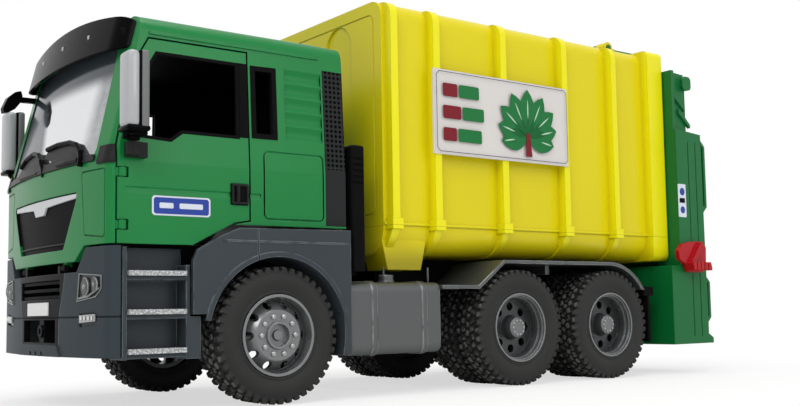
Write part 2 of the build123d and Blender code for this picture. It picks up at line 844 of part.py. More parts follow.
# Steps below each door
step_zs = (29.0, 46.8, 64.4)
with BuildPart() as steps:
    slab((171, 204), (63, 65), (25, 76))
    slab((202, 204), (65, 75.5), (25, 76))
    extrude(outline(side_plane(75), ((165.5, 24.5), (173, 24.5), (173, 68), (171, 68), (171, 44), (165.5, 44))), amount=10)
    for z in step_zs:
        slab((173, 202), (65, 74.5), (z - 3.5, z - 1.5))
    slab((180, 190), (rail_outer_y, 63), (46, 54))
    mirror(about=Plane.XZ)
save(steps, "steps")

with BuildPart() as step_treads:
    for z in step_zs:
        slab((173.4, 201.6), (69.5, 77), (z - 1.5, z + 0.8))
    mirror(about=Plane.XZ)
save(step_treads, "step_treads")

# Front mudguards: a liner round the wheel and a side panel with its arch cut
arch_radius = 38.5
fender_outer_y = 77.5
with BuildPart() as front_fenders:
    panel_points = (
        (81.5, 23),
        (81.5, 87.0),
        (146, 86.2),
        (157, 81.6),
        (168, 75.4),
        (170.4, 70),
        (170.4, 45),
        (160, 45),
        (160, 23),
    )
    extrude(outline(side_plane(fender_outer_y), panel_points), amount=2.5)
    with BuildSketch(side_plane(fender_outer_y)) as liner:
        with Locations((front_axle_x, tyre_radius)):
            Circle(arch_radius + 2)
        with Locations((front_axle_x, 45)):
            Rectangle(200, 100, align=(Align.CENTER, Align.MAX), mode=Mode.SUBTRACT)
    extrude(liner.sketch, amount=28)
    slab((81.5, 86.5), (49.5, fender_outer_y), (23, 46))
    with BuildSketch(side_plane(90)) as arch:
        with Locations((front_axle_x, tyre_radius)):
            Circle(arch_radius)
            Rectangle(2 * 36.8, 30, align=(Align.CENTER, Align.MAX))
    extrude(arch.sketch, amount=60, mode=Mode.SUBTRACT)
    slab((82, 86.5), (rail_outer_y, 50), (44, 50))
    # A flared lip round the arch, a raised line and the seam of the rear part
    with BuildSketch(side_plane(fender_outer_y + 0.7)) as flare:
        with Locations((front_axle_x, tyre_radius)):
            Circle(arch_radius + 2.5)
            Circle(arch_radius, mode=Mode.SUBTRACT)
        with Locations((front_axle_x, tyre_radius + 8)):
            Rectangle(200, 100, align=(Align.CENTER, Align.MAX), mode=Mode.SUBTRACT)
    extrude(flare.sketch, amount=1.2)
    slab((82.5, 155), (fender_outer_y - 1, fender_outer_y + 0.5), (79.4, 80.2))
    slab((135.6, 136.2), (fender_outer_y - 0.6, fender_outer_y + 1), (70, 88), mode=Mode.SUBTRACT)
    mirror(about=Plane.XZ)
save(front_fenders, "front_fenders")

# Fuel tank on the left and battery box on the right, between the axles
with BuildPart() as fuel_tank:
    with BuildSketch(Plane.YZ.offset(20.5)) as tank_section:
        with Locations((60, 41.2)):
            RectangleRounded(30, 38.4, 5)
    extrude(amount=59.8)
    for x in (30.0, 63.5):
        with BuildSketch(Plane.YZ.offset(x)) as strap_section:
            with Locations((60, 41.2)):
                RectangleRounded(31.4, 39.8, 5.7)
        extrude(amount=3.2)
        slab((x + 0.4, x + 2.8), (rail_outer_y, 46), (44, 54))
    with BuildSketch(Plane.XY.offset(58)) as cap:
        with Locations((50, 65)):
            Circle(4)
    extrude(amount=6.5)
save(fuel_tank, "fuel_tank")

with BuildPart() as battery_box:
    with BuildSketch(Plane.YZ.offset(20.5)) as box_section:
        with Locations((-60, 41.2)):
            RectangleRounded(30, 38.4, 2)
    extrude(amount=59.8)
    for x in (30.0, 63.5):
        slab((x, x + 3.2), (-46, -rail_outer_y), (44, 54))
save(battery_box, "battery_box")

# Air intake: a duct standing behind the cab on an arm from the frame
with BuildPart() as air_intake:
    slab((72, 77), (rail_outer_y - 6, rail_outer_y), (rail_top_z, 67))
    slab((72, 77), (rail_outer_y - 6, 68), (64, 67))
    with BuildSketch(Plane.XY.offset(66)) as duct:
        with Locations((74.2, 69.5)):
            RectangleRounded(8.6, 11, 2)
    extrude(duct.sketch, amount=67)
    fillet(air_intake.edges().group_by(Axis.Z)[-1], 1.8)
    for step in range(5):
        slab((69, 79), (74.2, 76), (112 + 3.2 * step, 113.4 + 3.2 * step), mode=Mode.SUBTRACT)
save(air_intake, "air_intake")

# Rear mudguards: a bent sheet over the two rear axles on each side
guard_top_z = 73.5
guard_outer_y = 77.0
guard_width = 43.0
with BuildPart() as rear_mudguards:
    extrude(
        outline(
            side_plane(guard_outer_y),
            (
                (19.7, 58.8),
                (-7, 58.8),
                (-27, guard_top_z),
                (rear_axle_xs[1], guard_top_z),
                (rear_axle_xs[1], guard_top_z - 2),
                (-27.6, guard_top_z - 2),
                (-7.6, 56.8),
                (19.7, 56.8),
            ),
        ),
        amount=guard_width,
    )
    with BuildSketch(side_plane(guard_outer_y)) as rear_bend:
        with Locations((rear_axle_xs[1], tyre_radius)):
            Circle(guard_top_z - tyre_radius)
            Circle(guard_top_z - tyre_radius - 2, mode=Mode.SUBTRACT)
            Rectangle(100, 200, align=(Align.MIN, Align.CENTER), mode=Mode.SUBTRACT)
        with Locations((rear_axle_xs[1], 56)):
            Rectangle(200, 100, align=(Align.CENTER, Align.MAX), mode=Mode.SUBTRACT)
    extrude(rear_bend.sketch, amount=guard_width)
    slab((-80.5, -77.5), (30, 60), (66, guard_top_z - 2))
    slab((12, 18), (rail_outer_y, 36), (52, 57.5))
    mirror(about=Plane.XZ)
save(rear_mudguards, "rear_mudguards")

with BuildPart() as mud_flaps:
    slab((-162, -152.5), (40, 75), (52, 58))
    slab((-158, -156), (40, 75), (22, 52))
    slab((-158, -150), (rail_outer_y, 40), (50, 56))
    mirror(about=Plane.XZ)
save(mud_flaps, "mud_flaps")


# Container: a hollow box with ribs that curve under it, open at the rear
def box_section(x, grow, top_z, edge, belly):
    """The container's section, grown outward by an amount."""
    half_y = box_half_y + grow
    with BuildSketch(Plane.YZ.offset(x)) as section:
        with BuildLine():
            Polyline(
                (-half_y, box_floor_z - min(grow, 0.6)),
                (half_y, box_floor_z - min(grow, 0.6)),
                (half_y, top_z),
                (-half_y, top_z),
                close=True,
            )
        make_face()
        fillet(section.vertices().group_by(Axis.Y)[-1], edge)
        fillet(section.vertices().group_by(Axis.Y)[0], belly)
    return section.sketch


lug_ys = (44.0, 52.0)
with BuildPart() as container_body:
    length = box_front_x - box_rear_x
    extrude(box_section(box_rear_x, 0, box_roof_z, box_edge_radius, box_belly_radius), amount=length)
    for x in rib_xs:
        section = box_section(x - rib_width / 2, rib_depth, box_roof_z - 1.5, 8.0, box_belly_radius + 5)
        extrude(section, amount=rib_width)
    frame_section = box_section(box_rear_x, rib_depth, box_roof_z + 0.5, 4.0, 4.0)
    extrude(frame_section, amount=rear_frame_length)
    slab((box_front_x - 6, box_front_x), (-40, 40), (68.0, box_floor_z + 2))
    # Ledges along the seam with a clip at each rib, and deep sills under the front
    for side in (-1, 1):
        ledge_y = side * (box_half_y + 1.2)
        slab((box_rear_x, box_front_x), (side * (box_half_y - 1), ledge_y), (box_seam_z - 0.8, box_seam_z + 0.8))
        for x in rib_xs:
            clip_y = (side * box_half_y, side * (box_half_y + rib_depth + 1.2))
            slab((x - 3.6, x + 3.6), clip_y, (box_seam_z - 3.5, box_seam_z + 2.5))
        sill = outline(side_plane(64 if side > 0 else -45), ((21, 84), (25, 67.5), (48, 67.5), (51.8, 84)))
        extrude(sill, amount=19)
    hollow = box_section(
        box_rear_x - 1,
        -box_wall,
        box_roof_z - box_wall,
        box_edge_radius - box_wall,
        box_belly_radius - box_wall,
    )
    extrude(hollow, amount=length + 1 - box_wall, mode=Mode.SUBTRACT)
    # The front wall's border line and its round-topped flute
    border = outline(Plane.YZ.offset(box_front_x - 0.6), ((-59, 98), (59, 98), (59, 211.5), (-59, 211.5)), 5)
    extrude(border - offset(border, amount=-0.8), amount=2, mode=Mode.SUBTRACT)
    with BuildSketch(Plane.YZ.offset(box_front_x - flute_depth)) as front_flute:
        with Locations((23.5, 198)):
            Circle(13)
            Rectangle(26, 92, align=(Align.CENTER, Align.MAX))
    extrude(front_flute.sketch, amount=3, mode=Mode.SUBTRACT)
    for side in (-1, 1):
        y = sorted((side * lug_ys[0], side * lug_ys[1]))
        slab((tail_hinge_x - 6, tail_hinge_x + 6), y, (box_roof_z - 1, tail_hinge_z))
        bar(tail_hinge_x, y[0], y[1], tail_hinge_z, 4.0)
        bar(tail_hinge_x, y[0], y[1], tail_hinge_z, tail_pin + running_gap, mode=Mode.SUBTRACT)
save(container_body, "container_body")

with BuildPart() as sign_boards:
    slab((-87, 21), (box_half_y + rib_depth, box_half_y + rib_depth + 1.2), (133, 182))
    mirror(about=Plane.XZ)
save(sign_boards, "sign_boards")

# Tailgate: the hopper that closes the container's rear, hung from the roof
tail_front_x = box_rear_x - tail_gap
rotor_x = box_rear_x - 12.0
rotor_z = 76.0
rotor_radius = 10.5
trough_radius = 11.5
crank_shaft = 3.0
mouth_z = (64.0, 198.0)
upper_half_y = 76.0
upper_rear_x = box_rear_x - 19.0
lower_front_x = box_rear_x + 8.0
shelf_z = 165.0
arm_ys = (39.0, 43.5)
lifter_x = tail_rear_x - 2.8
lifter_z = 66.5
lifter_pin = 1.6
with BuildPart() as tailgate_shell:
    side_points = (
        (lower_front_x, tail_bottom_z),
        (lower_front_x, 72),
        (tail_front_x, 72),
        (tail_front_x, shelf_z),
        (tail_rear_x + 1, shelf_z - 2),
        (tail_rear_x, 26),
        (tail_lip_x, 23),
        (tail_lip_x, tail_bottom_z),
    )
    extrude(outline(side_plane(tail_half_y), side_points), amount=tail_wall)
    upper_points = (
        (tail_front_x, 158),
        (tail_front_x, 206),
        (upper_rear_x + 3, 205),
        (upper_rear_x, 201),
        (upper_rear_x, 158),
    )
    extrude(outline(side_plane(upper_half_y), upper_points), amount=tail_wall)
    slab((tail_rear_x + 2, tail_front_x), (upper_half_y - tail_wall, tail_half_y), (shelf_z - 4, shelf_z - 2))
    # The flange round the mouth, facing the container
    slab((tail_front_x - 3, tail_front_x), (62, 79), (62, 206))
    slab((lower_front_x - 2.5, lower_front_x), (0, tail_half_y), (tail_bottom_z, 72))
    slab((tail_front_x + 0.6, lower_front_x), (0, tail_half_y), (69.5, 72))
    slab((tail_front_x - 3, tail_front_x), (0, 79), (62, mouth_z[0]))
    slab((tail_front_x - 3, tail_front_x), (0, 76), (mouth_z[1], 206))
    slab((tail_rear_x + 1, lower_front_x), (0, tail_half_y), (tail_bottom_z, tail_bottom_z + 2.5))
    slab((tail_lip_x, tail_rear_x + 2.5), (0, tail_half_y), (tail_bottom_z, 23))
    slab((tail_rear_x, tail_rear_x + 2.5), (0, tail_half_y), (22, 64))
    # The upper rear panel and roof
    slab((upper_rear_x, upper_rear_x + 2.5), (0, upper_half_y), (150, 202))
    slab((upper_rear_x + 1, tail_front_x), (0, upper_half_y), (202.5, 205))
    # The trough that the paddle turns in
    with BuildSketch(side_plane(tail_half_y)) as trough:
        with Locations((rotor_x, rotor_z)):
            Circle(trough_radius + 2)
            Circle(trough_radius, mode=Mode.SUBTRACT)
            Rectangle(60, 40, align=(Align.CENTER, Align.MIN), mode=Mode.SUBTRACT)
        with Locations((tail_front_x, 0)):
            Rectangle(60, 300, align=(Align.MIN, Align.MIN), mode=Mode.SUBTRACT)
    extrude(trough.sketch, amount=tail_half_y)
    slab((tail_rear_x, rotor_x - trough_radius), (0, tail_half_y), (62, 64))
    slab((rotor_x - trough_radius - 2, rotor_x - trough_radius), (0, tail_half_y), (64, 77))
    # Arms forward over the roof to the hinge
    y = arm_ys
    slab((tail_front_x - 6, tail_hinge_x), y, (tail_hinge_z - 2.5, tail_hinge_z + 2.5))
    slab((tail_front_x - 6, tail_front_x), y, (200, tail_hinge_z))
    bar(tail_hinge_x, y[0], y[1], tail_hinge_z, 3.6)
    bar(tail_hinge_x, y[0], lug_ys[1] + 0.8, tail_hinge_z, tail_pin)
    # Grab rails on the rear edges
    for z0, z1 in ((108, 160), (32, 66)):
        extrude(
            outline(
                side_plane(tail_half_y - 0.5),
                (
                    (tail_rear_x + 1, z0),
                    (tail_rear_x - 4, z0 + 5),
                    (tail_rear_x - 4, z1 - 5),
                    (tail_rear_x + 1, z1),
                    (tail_rear_x + 1, z1 - 3),
                    (tail_rear_x - 2, z1 - 6),
                    (tail_rear_x - 2, z0 + 6),
                    (tail_rear_x + 1, z0 + 3),
                ),
            ),
            amount=2,
        )
    # Grooves down the side panels, and the knob and links of the roof latch
    for x in (tail_rear_x + 7, tail_rear_x + 15):
        slab((x, x + 0.9), (tail_half_y - 0.8, tail_half_y + 1), (tail_bottom_z + 5, shelf_z - 8), mode=Mode.SUBTRACT)
    with BuildSketch(side_plane(upper_half_y + 3)) as latch_knob:
        with Locations((upper_rear_x + 1, 198.6)):
            RectangleRounded(9, 9.5, 3)
    extrude(latch_knob.sketch, amount=4)
    for x, z in ((upper_rear_x + 14, 190.5), (upper_rear_x + 9, 179)):
        link = ((x, z - 2), (x, z + 2), (x - 12, z - 9), (x - 12, z - 12))
        extrude(outline(side_plane(upper_half_y + 1.6), link, 0.6), amount=2)
    # Ears that the bin lifter swings in
    slab((lifter_x - 2.2, tail_rear_x + 1), (57, 60), (62, lifter_z + 3))
    mirror(about=Plane.XZ)
    bar(lifter_x, -61, 61, lifter_z, lifter_pin + running_gap, mode=Mode.SUBTRACT)
    bar(rotor_x, -90, 90, rotor_z, crank_shaft + running_gap, mode=Mode.SUBTRACT)
save(tailgate_shell, "tailgate_shell")

with BuildPart() as packer_paddle:
    bar(rotor_x, -tail_half_y - 1, tail_half_y + 2.5, rotor_z, crank_shaft)
    for turn in range(3):
        with BuildSketch(side_plane(61)) as blade:
            with Locations((rotor_x, rotor_z)):
                with PolarLocations(0, 1, start_angle=30 + 120 * turn):
                    Rectangle(rotor_radius, 2, align=(Align.MIN, Align.CENTER))
        extrude(blade.sketch, amount=122)
save(packer_paddle, "packer_paddle")

crank_y = tail_half_y + 0.6
crank_points = (
    (-12.5, 8.5),
    (-8.5, 12.5),
    (4.0, 12.0),
    (12.0, 10.5),
    (17.0, 6.0),
    (16.0, 0.0),
    (9.0, -3.5),
    (7.0, -8.5),
    (-9.0, -8.5),
    (-12.0, -2.5),
)
with BuildPart() as crank_handle:
    lobes = [(rotor_x + x, rotor_z + z) for x, z in crank_points]
    extrude(outline(side_plane(crank_y + 3), lobes, 1.8), amount=3)
    # A bar across the shield, and the ribbed grip at its foot
    brace = ((9.5, -6.0), (6.5, -7.5), (-7.0, 10.5), (-4.5, 12.0))
    brace_points = [(rotor_x + x, rotor_z + z) for x, z in brace]
    extrude(outline(side_plane(crank_y + 5.5), brace_points), amount=3)
    grip_points = ((-10.5, -7.5), (9.0, -7.5), (10.5, -2.0), (-9.0, -2.0))
    grip_corners = [(rotor_x + x, rotor_z + z) for x, z in grip_points]
    extrude(outline(side_plane(crank_y + 9.4), grip_corners, 1), amount=7)
    for step in range(4):
        x = rotor_x - 6.5 + 4 * step
        slab((x, x + 1), (crank_y + 8.2, crank_y + 10), (rotor_z - 9, rotor_z), mode=Mode.SUBTRACT)
    bar(rotor_x, crank_y - 0.1, crank_y + 1.9, rotor_z, crank_shaft, mode=Mode.SUBTRACT)
save(crank_handle, "crank_handle")

# Bin lifter: a comb on a pin across the hopper's rear lip
with BuildPart() as bin_lifter:
    bar(lifter_x, -59.2, 59.2, lifter_z, lifter_pin)
    slab((lifter_x - 1.5, lifter_x + 0.5), (-52, 52), (34, lifter_z))
    for y in (-44, -22, 0, 22, 44):
        slab((lifter_x - 1.5, lifter_x + 0.5), (y - 4, y + 4), (lifter_z, lifter_z + 4.5))
    slab((lifter_x - 2, lifter_x + 0.5), (-56, 56), (26, 30))
    for y in (-50, 50):
        slab((lifter_x - 1.5, lifter_x + 0.5), (y - 3, y + 3), (28, 36))
save(bin_lifter, "bin_lifter")
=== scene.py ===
# %% [markdown]
# # A toy refuse lorry, from bare solids to a studio picture
#
# The lorry arrives as plain solids at their real size, each riding on the part that moves it:
# chassis, wheels, tilting cab, doors, mirrors, tailgate, paddle and bin lifter. This lesson dresses
# those solids. Some only need a good plastic. Others, such as the tyres, are modelled again in more
# detail and take the place of the plain solid. Everything is in metres: X runs forward, Y to the
# lorry's left and Z up from the ground.

# %% Load the solids
import json
from math import cos, pi, radians, sin, sqrt, tan

import bmesh
import bpy
from mathutils import Matrix, Vector


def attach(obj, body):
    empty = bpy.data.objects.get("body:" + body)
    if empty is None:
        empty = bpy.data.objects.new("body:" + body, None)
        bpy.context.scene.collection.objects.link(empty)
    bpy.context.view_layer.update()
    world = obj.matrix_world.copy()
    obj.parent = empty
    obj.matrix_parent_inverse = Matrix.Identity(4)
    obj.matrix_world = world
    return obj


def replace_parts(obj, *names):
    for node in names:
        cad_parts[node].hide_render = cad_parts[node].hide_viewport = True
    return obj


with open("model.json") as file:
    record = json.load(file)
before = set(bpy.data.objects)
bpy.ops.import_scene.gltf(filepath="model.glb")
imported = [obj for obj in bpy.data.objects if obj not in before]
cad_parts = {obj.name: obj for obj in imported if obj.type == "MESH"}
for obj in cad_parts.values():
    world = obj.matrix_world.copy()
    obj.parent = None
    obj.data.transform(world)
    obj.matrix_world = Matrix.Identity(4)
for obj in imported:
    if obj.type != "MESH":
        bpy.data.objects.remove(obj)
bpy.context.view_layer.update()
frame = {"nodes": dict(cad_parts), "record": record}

scene = bpy.context.scene

# %% [markdown]
# ## Colours as the eye names them
#
# A colour picker gives sRGB numbers from 0 to 255, while a shader wants linear light. One small
# function turns the first into the second, so that every colour below can be read off a picture.


# %% Colours
def srgb(red, green, blue):
    """A colour in linear light from its 0 to 255 numbers."""
    def linear(value):
        value = value / 255
        return value / 12.92 if value <= 0.04045 else ((value + 0.055) / 1.055) ** 2.4
    return (linear(red), linear(green), linear(blue), 1.0)


print("mid grey in linear light:", round(srgb(128, 128, 128)[0], 3))

# %% [markdown]
# ## Shader maths that reads like Python
#
# A material is a tree of nodes joined by links. Writing each node and link out takes many lines, so
# the class below wraps one output. Adding, multiplying or comparing it adds the Math node and
# returns the new output, and its `node` method makes any other kind.


# %% A wrapped output
class Flow:
    """One output in a material's tree, which takes part in ordinary arithmetic."""

    def __init__(self, socket):
        self.socket = socket

    def node(self, kind, settings=None, inputs=None, output=0):
        """Adds a node of any kind and wraps one of its outputs."""
        tree = self.socket.id_data
        made = tree.nodes.new(kind)
        for name, value in (settings or {}).items():
            setattr(made, name, value)
        for name, value in (inputs or {}).items():
            if isinstance(value, Flow):
                tree.links.new(value.socket, made.inputs[name])
            else:
                made.inputs[name].default_value = value
        return Flow(made.outputs[output])

    def math(self, operation, *others):
        """Adds a Math node that takes this value first."""
        values = dict(enumerate((self, *others)))
        return self.node("ShaderNodeMath", {"operation": operation}, values)

    def __add__(self, other):
        return self.math("ADD", other)

    def __sub__(self, other):
        return self.math("SUBTRACT", other)

    def __rsub__(self, other):
        return self.node("ShaderNodeMath", {"operation": "SUBTRACT"}, {0: other, 1: self})

    def __mul__(self, other):
        return self.math("MULTIPLY", other)

    def __truediv__(self, other):
        return self.math("DIVIDE", other)

    def __lt__(self, other):
        return self.math("LESS_THAN", other)

    def __gt__(self, other):
        return self.math("GREATER_THAN", other)

    __radd__ = __add__
    __rmul__ = __mul__

    def mix(self, first, second):
        """The first colour where this value is 0 and the second where it is 1."""
        return self.node(
            "ShaderNodeMix", {"data_type": "RGBA"}, {"Factor": self, 6: first, 7: second}, output=2
        )

    def part(self, name):
        """X, Y or Z of a vector."""
        return self.node("ShaderNodeSeparateXYZ", inputs={0: self}, output="XYZ".index(name))


print("a wrapped output adds its own nodes")

# %% [markdown]
# ## Tools for materials
#
# Every material starts the same way, with a Principled shader and its Object coordinates, which are
# metres on the lorry. Small functions set or link the shader's inputs and add soft noise. A Bevel
# node rounds the edges in the shading alone, so the solids stay light.


# %% Tools for materials
def new_material(name):
    """A material with its shader and its Object coordinates."""
    material = bpy.data.materials.new(name)
    material.use_nodes = True
    tree = material.node_tree
    shader = tree.nodes["Principled BSDF"]
    place = Flow(tree.nodes.new("ShaderNodeTexCoord").outputs["Object"])
    return material, shader, place


def feed(shader, **inputs):
    """Sets or links the shader's inputs, named with underscores for spaces."""
    for name, value in inputs.items():
        target = shader.inputs[name.replace("_", " ")]
        if isinstance(value, Flow):
            shader.id_data.links.new(value.socket, target)
        else:
            target.default_value = value


def noise(place, scale, detail=2.0):
    """Soft noise from 0 to 1 at a scale in cells for each metre."""
    values = {"Vector": place, "Scale": scale, "Detail": detail}
    return place.node("ShaderNodeTexNoise", inputs=values)


def rounded(place, radius, height=None, strength=0.0, distance=0.0001):
    """A normal with its edges rounded, over a bump where one is given."""
    normal = place.node("ShaderNodeBevel", {"samples": 4}, {"Radius": radius})
    if height is None:
        return normal
    return place.node(
        "ShaderNodeBump",
        inputs={"Strength": strength, "Distance": distance, "Height": height, "Normal": normal},
    )


def ease(value, start, end):
    """Rises smoothly from 0 to 1 between two limits."""
    return value.node(
        "ShaderNodeMapRange",
        {"interpolation_type": "SMOOTHSTEP"},
        {"Value": value, "From Min": start, "From Max": end},
    )


print("tools for materials")

# %% [markdown]
# ## Pale edges and blends
#
# Plastic catches light along its rounded edges, and here that is painted: a pale colour along the
# edges is a painted highlight. There a rounded normal leaves the flat one and their dot product
# falls below 1, which makes a mask.


# %% Edges and blends
def edge_of(place, radius):
    """Rises to 1 along the edges, where the rounded normal leaves the flat one."""
    soft = place.node("ShaderNodeBevel", {"samples": 6}, {"Radius": radius})
    flat = place.node("ShaderNodeNewGeometry", output="True Normal")
    alike = soft.node(
        "ShaderNodeVectorMath", {"operation": "DOT_PRODUCT"}, {0: soft, 1: flat}, output="Value"
    )
    return ease(1.0 - alike, 0.015, 0.12)


def linked_mix(material, first, second, share):
    """Blends two shaders and sends the result to the material's output."""
    tree = material.node_tree
    blend = tree.nodes.new("ShaderNodeMixShader")
    tree.links.new(share.socket, blend.inputs[0])
    tree.links.new(first.outputs[0], blend.inputs[1])
    tree.links.new(second.outputs[0], blend.inputs[2])
    tree.links.new(blend.outputs[0], tree.nodes["Material Output"].inputs["Surface"])


def shade(colour, share):
    """A colour made lighter or darker."""
    return tuple(min(1.0, value * share) for value in colour[:3]) + (1.0,)


print("edges, blends and shades")

# %% [markdown]
# ## Moulded plastic
#
# Toy lorries are moulded in ABS, coloured right through. The mould gives a gloss or a fine satin
# grain. A faint, slow noise varies the colour and the roughness, as handling and the flow of the
# plastic do, and a fine noise gives the grain as bump. Pale edges are broken up by noise too.


def satin(place, middle):
    """Roughness that drifts by 0.05 either side of its middle."""
    return noise(place, 45) * 0.10 + (middle - 0.05)


def plastic(
    name, colour, roughness, grain=0.15, round_edge=0.0005, shine=0.25, metal=0.0, index=1.5,
    grain_scale=2600, edge=None, slot=None,
):
    """Moulded plastic with a grain, soft edges and a slight drift of colour."""
    material, shader, place = new_material(name)
    hue = noise(place, 14).mix(shade(colour, 0.95), shade(colour, 1.05))
    # An edge colour, where one is given, is a painted highlight along the edges, broken up by
    # noise.
    if edge:
        hue = (edge_of(place, 0.0007) * ease(noise(place, 120), 0.3, 0.55)).mix(hue, edge)
    feed(
        shader,
        Base_Color=hue,
        Roughness=satin(place, roughness),
        Specular_IOR_Level=shine,
        IOR=index,
        Metallic=metal,
        Normal=rounded(place, round_edge, noise(place, grain_scale), grain),
    )
    return material


print("one recipe for every plastic")

# %% [markdown]
# ## The palette
#
# At a grazing angle a black with the usual index of refraction mirrors the white studio and looks
# grey, so the blacks and the slate have a lower index. The rims darken with their depth, which is
# the distance from the lorry's middle, as little light reaches the foot of a dish.

# %% The palette
green = plastic(
    "green_plastic", srgb(12, 120, 56), 0.30, grain=0.04, round_edge=0.0008, edge=srgb(40, 146, 86)
)
yellow = plastic(
    "yellow_plastic", srgb(226, 214, 0), 0.33, grain=0.04, round_edge=0.0008, shine=0.35
)
slate = plastic(
    "slate_plastic", srgb(54, 61, 66), 0.34, grain=0.15, round_edge=0.0012, shine=0.5, index=1.28,
    edge=srgb(118, 126, 130),
)
black = plastic("black_plastic", srgb(17, 17, 18), 0.42, grain=0.2, shine=0.5, index=1.08)
gloss_black = plastic(
    "gloss_black_plastic", srgb(12, 12, 13), 0.14, grain=0.0, shine=0.5, index=1.12
)
silver_grey = plastic(
    "silver_grey_plastic", srgb(92, 95, 95), 0.30, grain=0.1, round_edge=0.0016, metal=0.6,
    edge=srgb(176, 178, 178),
)
silver = plastic("silver_plastic", srgb(200, 202, 204), 0.28, grain=0.05)
red = plastic("red_plastic", srgb(170, 14, 24), 0.28, grain=0.05)
white = plastic("white_plastic", srgb(228, 228, 225), 0.35, grain=0.03)
rim_grey, shader, place = new_material("rim_grey_plastic")
rim_depth = place.part("Y").math("ABSOLUTE")
feed(
    shader,
    Base_Color=ease(rim_depth, 0.0635, 0.0772).mix(srgb(48, 50, 51), srgb(122, 124, 125)),
    Roughness=satin(place, 0.27),
    Metallic=0.6,
    Normal=rounded(place, 0.0005),
)
print("nine plastics and the rims' grey")

# %% [markdown]
# ## Yellow for the container
#
# The container's yellow is painted a little brighter on its ribs, which stand further out than its
# panels, as a painted highlight. It is painted darker towards its foot, as painted shade, and a
# thin line marks the seam of its two mouldings. Heights and distances on Object coordinates make
# all three masks.

# %% The container's yellow
shader = yellow.node_tree.nodes["Principled BSDF"]
place = Flow(yellow.node_tree.nodes.new("ShaderNodeTexCoord").outputs["Object"])
box_height = place.part("Z")
seam = (box_height > 0.0915) * (0.0919 - box_height > 0.0)
# Painted shade towards the foot, and a dark line along the seam.
painted_foot_shade_and_seam = 1.0 - (1.0 - ease(box_height, 0.070, 0.086)) * 0.55 - seam * 0.35
outer_side = place.part("Y").math("ABSOLUTE")
# Painted highlight: the ribs are lighter than the panels.
yellow_ribs_painted_light = ease(outer_side, 0.0655, 0.0712).mix(srgb(220, 205, 0), srgb(236, 228, 8))
feed(shader, Base_Color=painted_foot_shade_and_seam.mix(srgb(60, 56, 0), yellow_ribs_painted_light))
print("three masks on the yellow")

# %% [markdown]
# ## The windscreen
#
# The windscreen is smoked along its top and sides and clear in the middle, where a reflection of
# the white studio is painted. A mask on Object coordinates blends the two: inside it a glossy
# shader takes over from a dark, nearly opaque one. Streaks of noise break the painted reflection at
# the left.

# %% The windscreen
screen, shader, place = new_material("smoked_screen")
across, height = place.part("Y"), place.part("Z")
patch_start = (0.160 - height) * 0.45 - 0.026
middle_part = ease(across - patch_start, 0.0, 0.010) * ease(0.161 - height, 0.0, 0.009)
streaks = noise(place, 260, 1.0) * 0.25 + 0.45
# Painted reflection: a fixed mask where the glass shows the studio's white.
painted_reflection = middle_part * (1.0 - ease(across, 0.040, 0.052) * streaks)
feed(
    shader,
    Base_Color=ease(height, 0.120, 0.165).mix(srgb(96, 105, 110), srgb(58, 66, 71)),
    Roughness=0.12,
    Specular_IOR_Level=0.25,
    Alpha=painted_reflection * -0.25 + 0.88,
    Normal=rounded(place, 0.0004),
)
mirror_like = screen.node_tree.nodes.new("ShaderNodeBsdfGlossy")
mirror_like.inputs["Color"].default_value = srgb(238, 239, 240)
mirror_like.inputs["Roughness"].default_value = 0.04
linked_mix(screen, shader, mirror_like, painted_reflection * 0.86)
print("smoked edges round a bright middle")

# %% [markdown]
# ## Tyre rubber
#
# Toy tyres are a soft black plastic, duller than the body. Their raised blocks are painted grey in
# flecks, a painted highlight.
# The distance to the nearest axle tells those blocks from the grooves. The noise is coarser than on
# the plastics, which gives the slightly blotchy look of rubber.

# %% Rubber
tyre_radius = 0.034
front_x = 0.124
rear_xs = {"first": -0.0395, "second": -0.118}
rubber, shader, place = new_material("tyre_rubber")
rubber_drift = noise(place, 60)
rise = place.part("Z") - tyre_radius
nearest = None
for axle_x in (front_x, *rear_xs.values()):
    run = place.part("X") - axle_x
    reach = (run * run + rise * rise).math("SQRT")
    nearest = reach if nearest is None else reach.math("MINIMUM", nearest)
# Painted highlight: grey flecks on the raised blocks.
painted_block_highlight = ease(nearest, 0.0330, 0.0339) * ease(noise(place, 260), 0.40, 0.62)
feed(
    shader,
    Base_Color=painted_block_highlight.mix(rubber_drift.mix(srgb(20, 20, 20), srgb(40, 40, 39)), srgb(98, 98, 96)),
    Specular_IOR_Level=0.3,
    Roughness=rubber_drift * 0.15 + 0.52,
    Normal=rounded(place, 0.0003, noise(place, 1800), 0.3),
)
print("rubber roughness 0.52 to 0.67")

# %% [markdown]
# ## Dress the solids
#
# Each solid came with a material slot in the record, such as `green_plastic`. A table from those
# slots to the finishes above dresses every solid in one loop. The cab and its doors are dark
# inside: each face that looks towards the cab's middle gets a dark finish. The green hinge ears
# under the cab get it too, as painted shade for the dark gap they sit in.

# %% Dress the solids
finishes = {
    "green_plastic": green,
    "yellow_plastic": yellow,
    "slate_plastic": slate,
    "black_plastic": black,
    "gloss_black": gloss_black,
    "silver_grey": silver_grey,
    "rim_grey": rim_grey,
    "silver_plastic": silver,
    "red_plastic": red,
    "white_board": white,
    "clear_glass": screen,
    "tyre_rubber": rubber,
}
node_slots = {row["node"]: row["material_slot"] for row in frame["record"]["subparts"]}
inside_and_ear_shade = plastic("cab_inside_and_ear_shade", srgb(13, 13, 14), 0.6, grain=0.2, shine=0.3, index=1.2)
cab_middle = Vector((0.150, 0.0, 0.130))
ear_top, door_foot = 0.0695, 0.081


def dress(name, finish):
    """Gives a solid one finish in place of what it had."""
    materials = frame["nodes"][name].data.materials
    materials.clear()
    materials.append(finish)


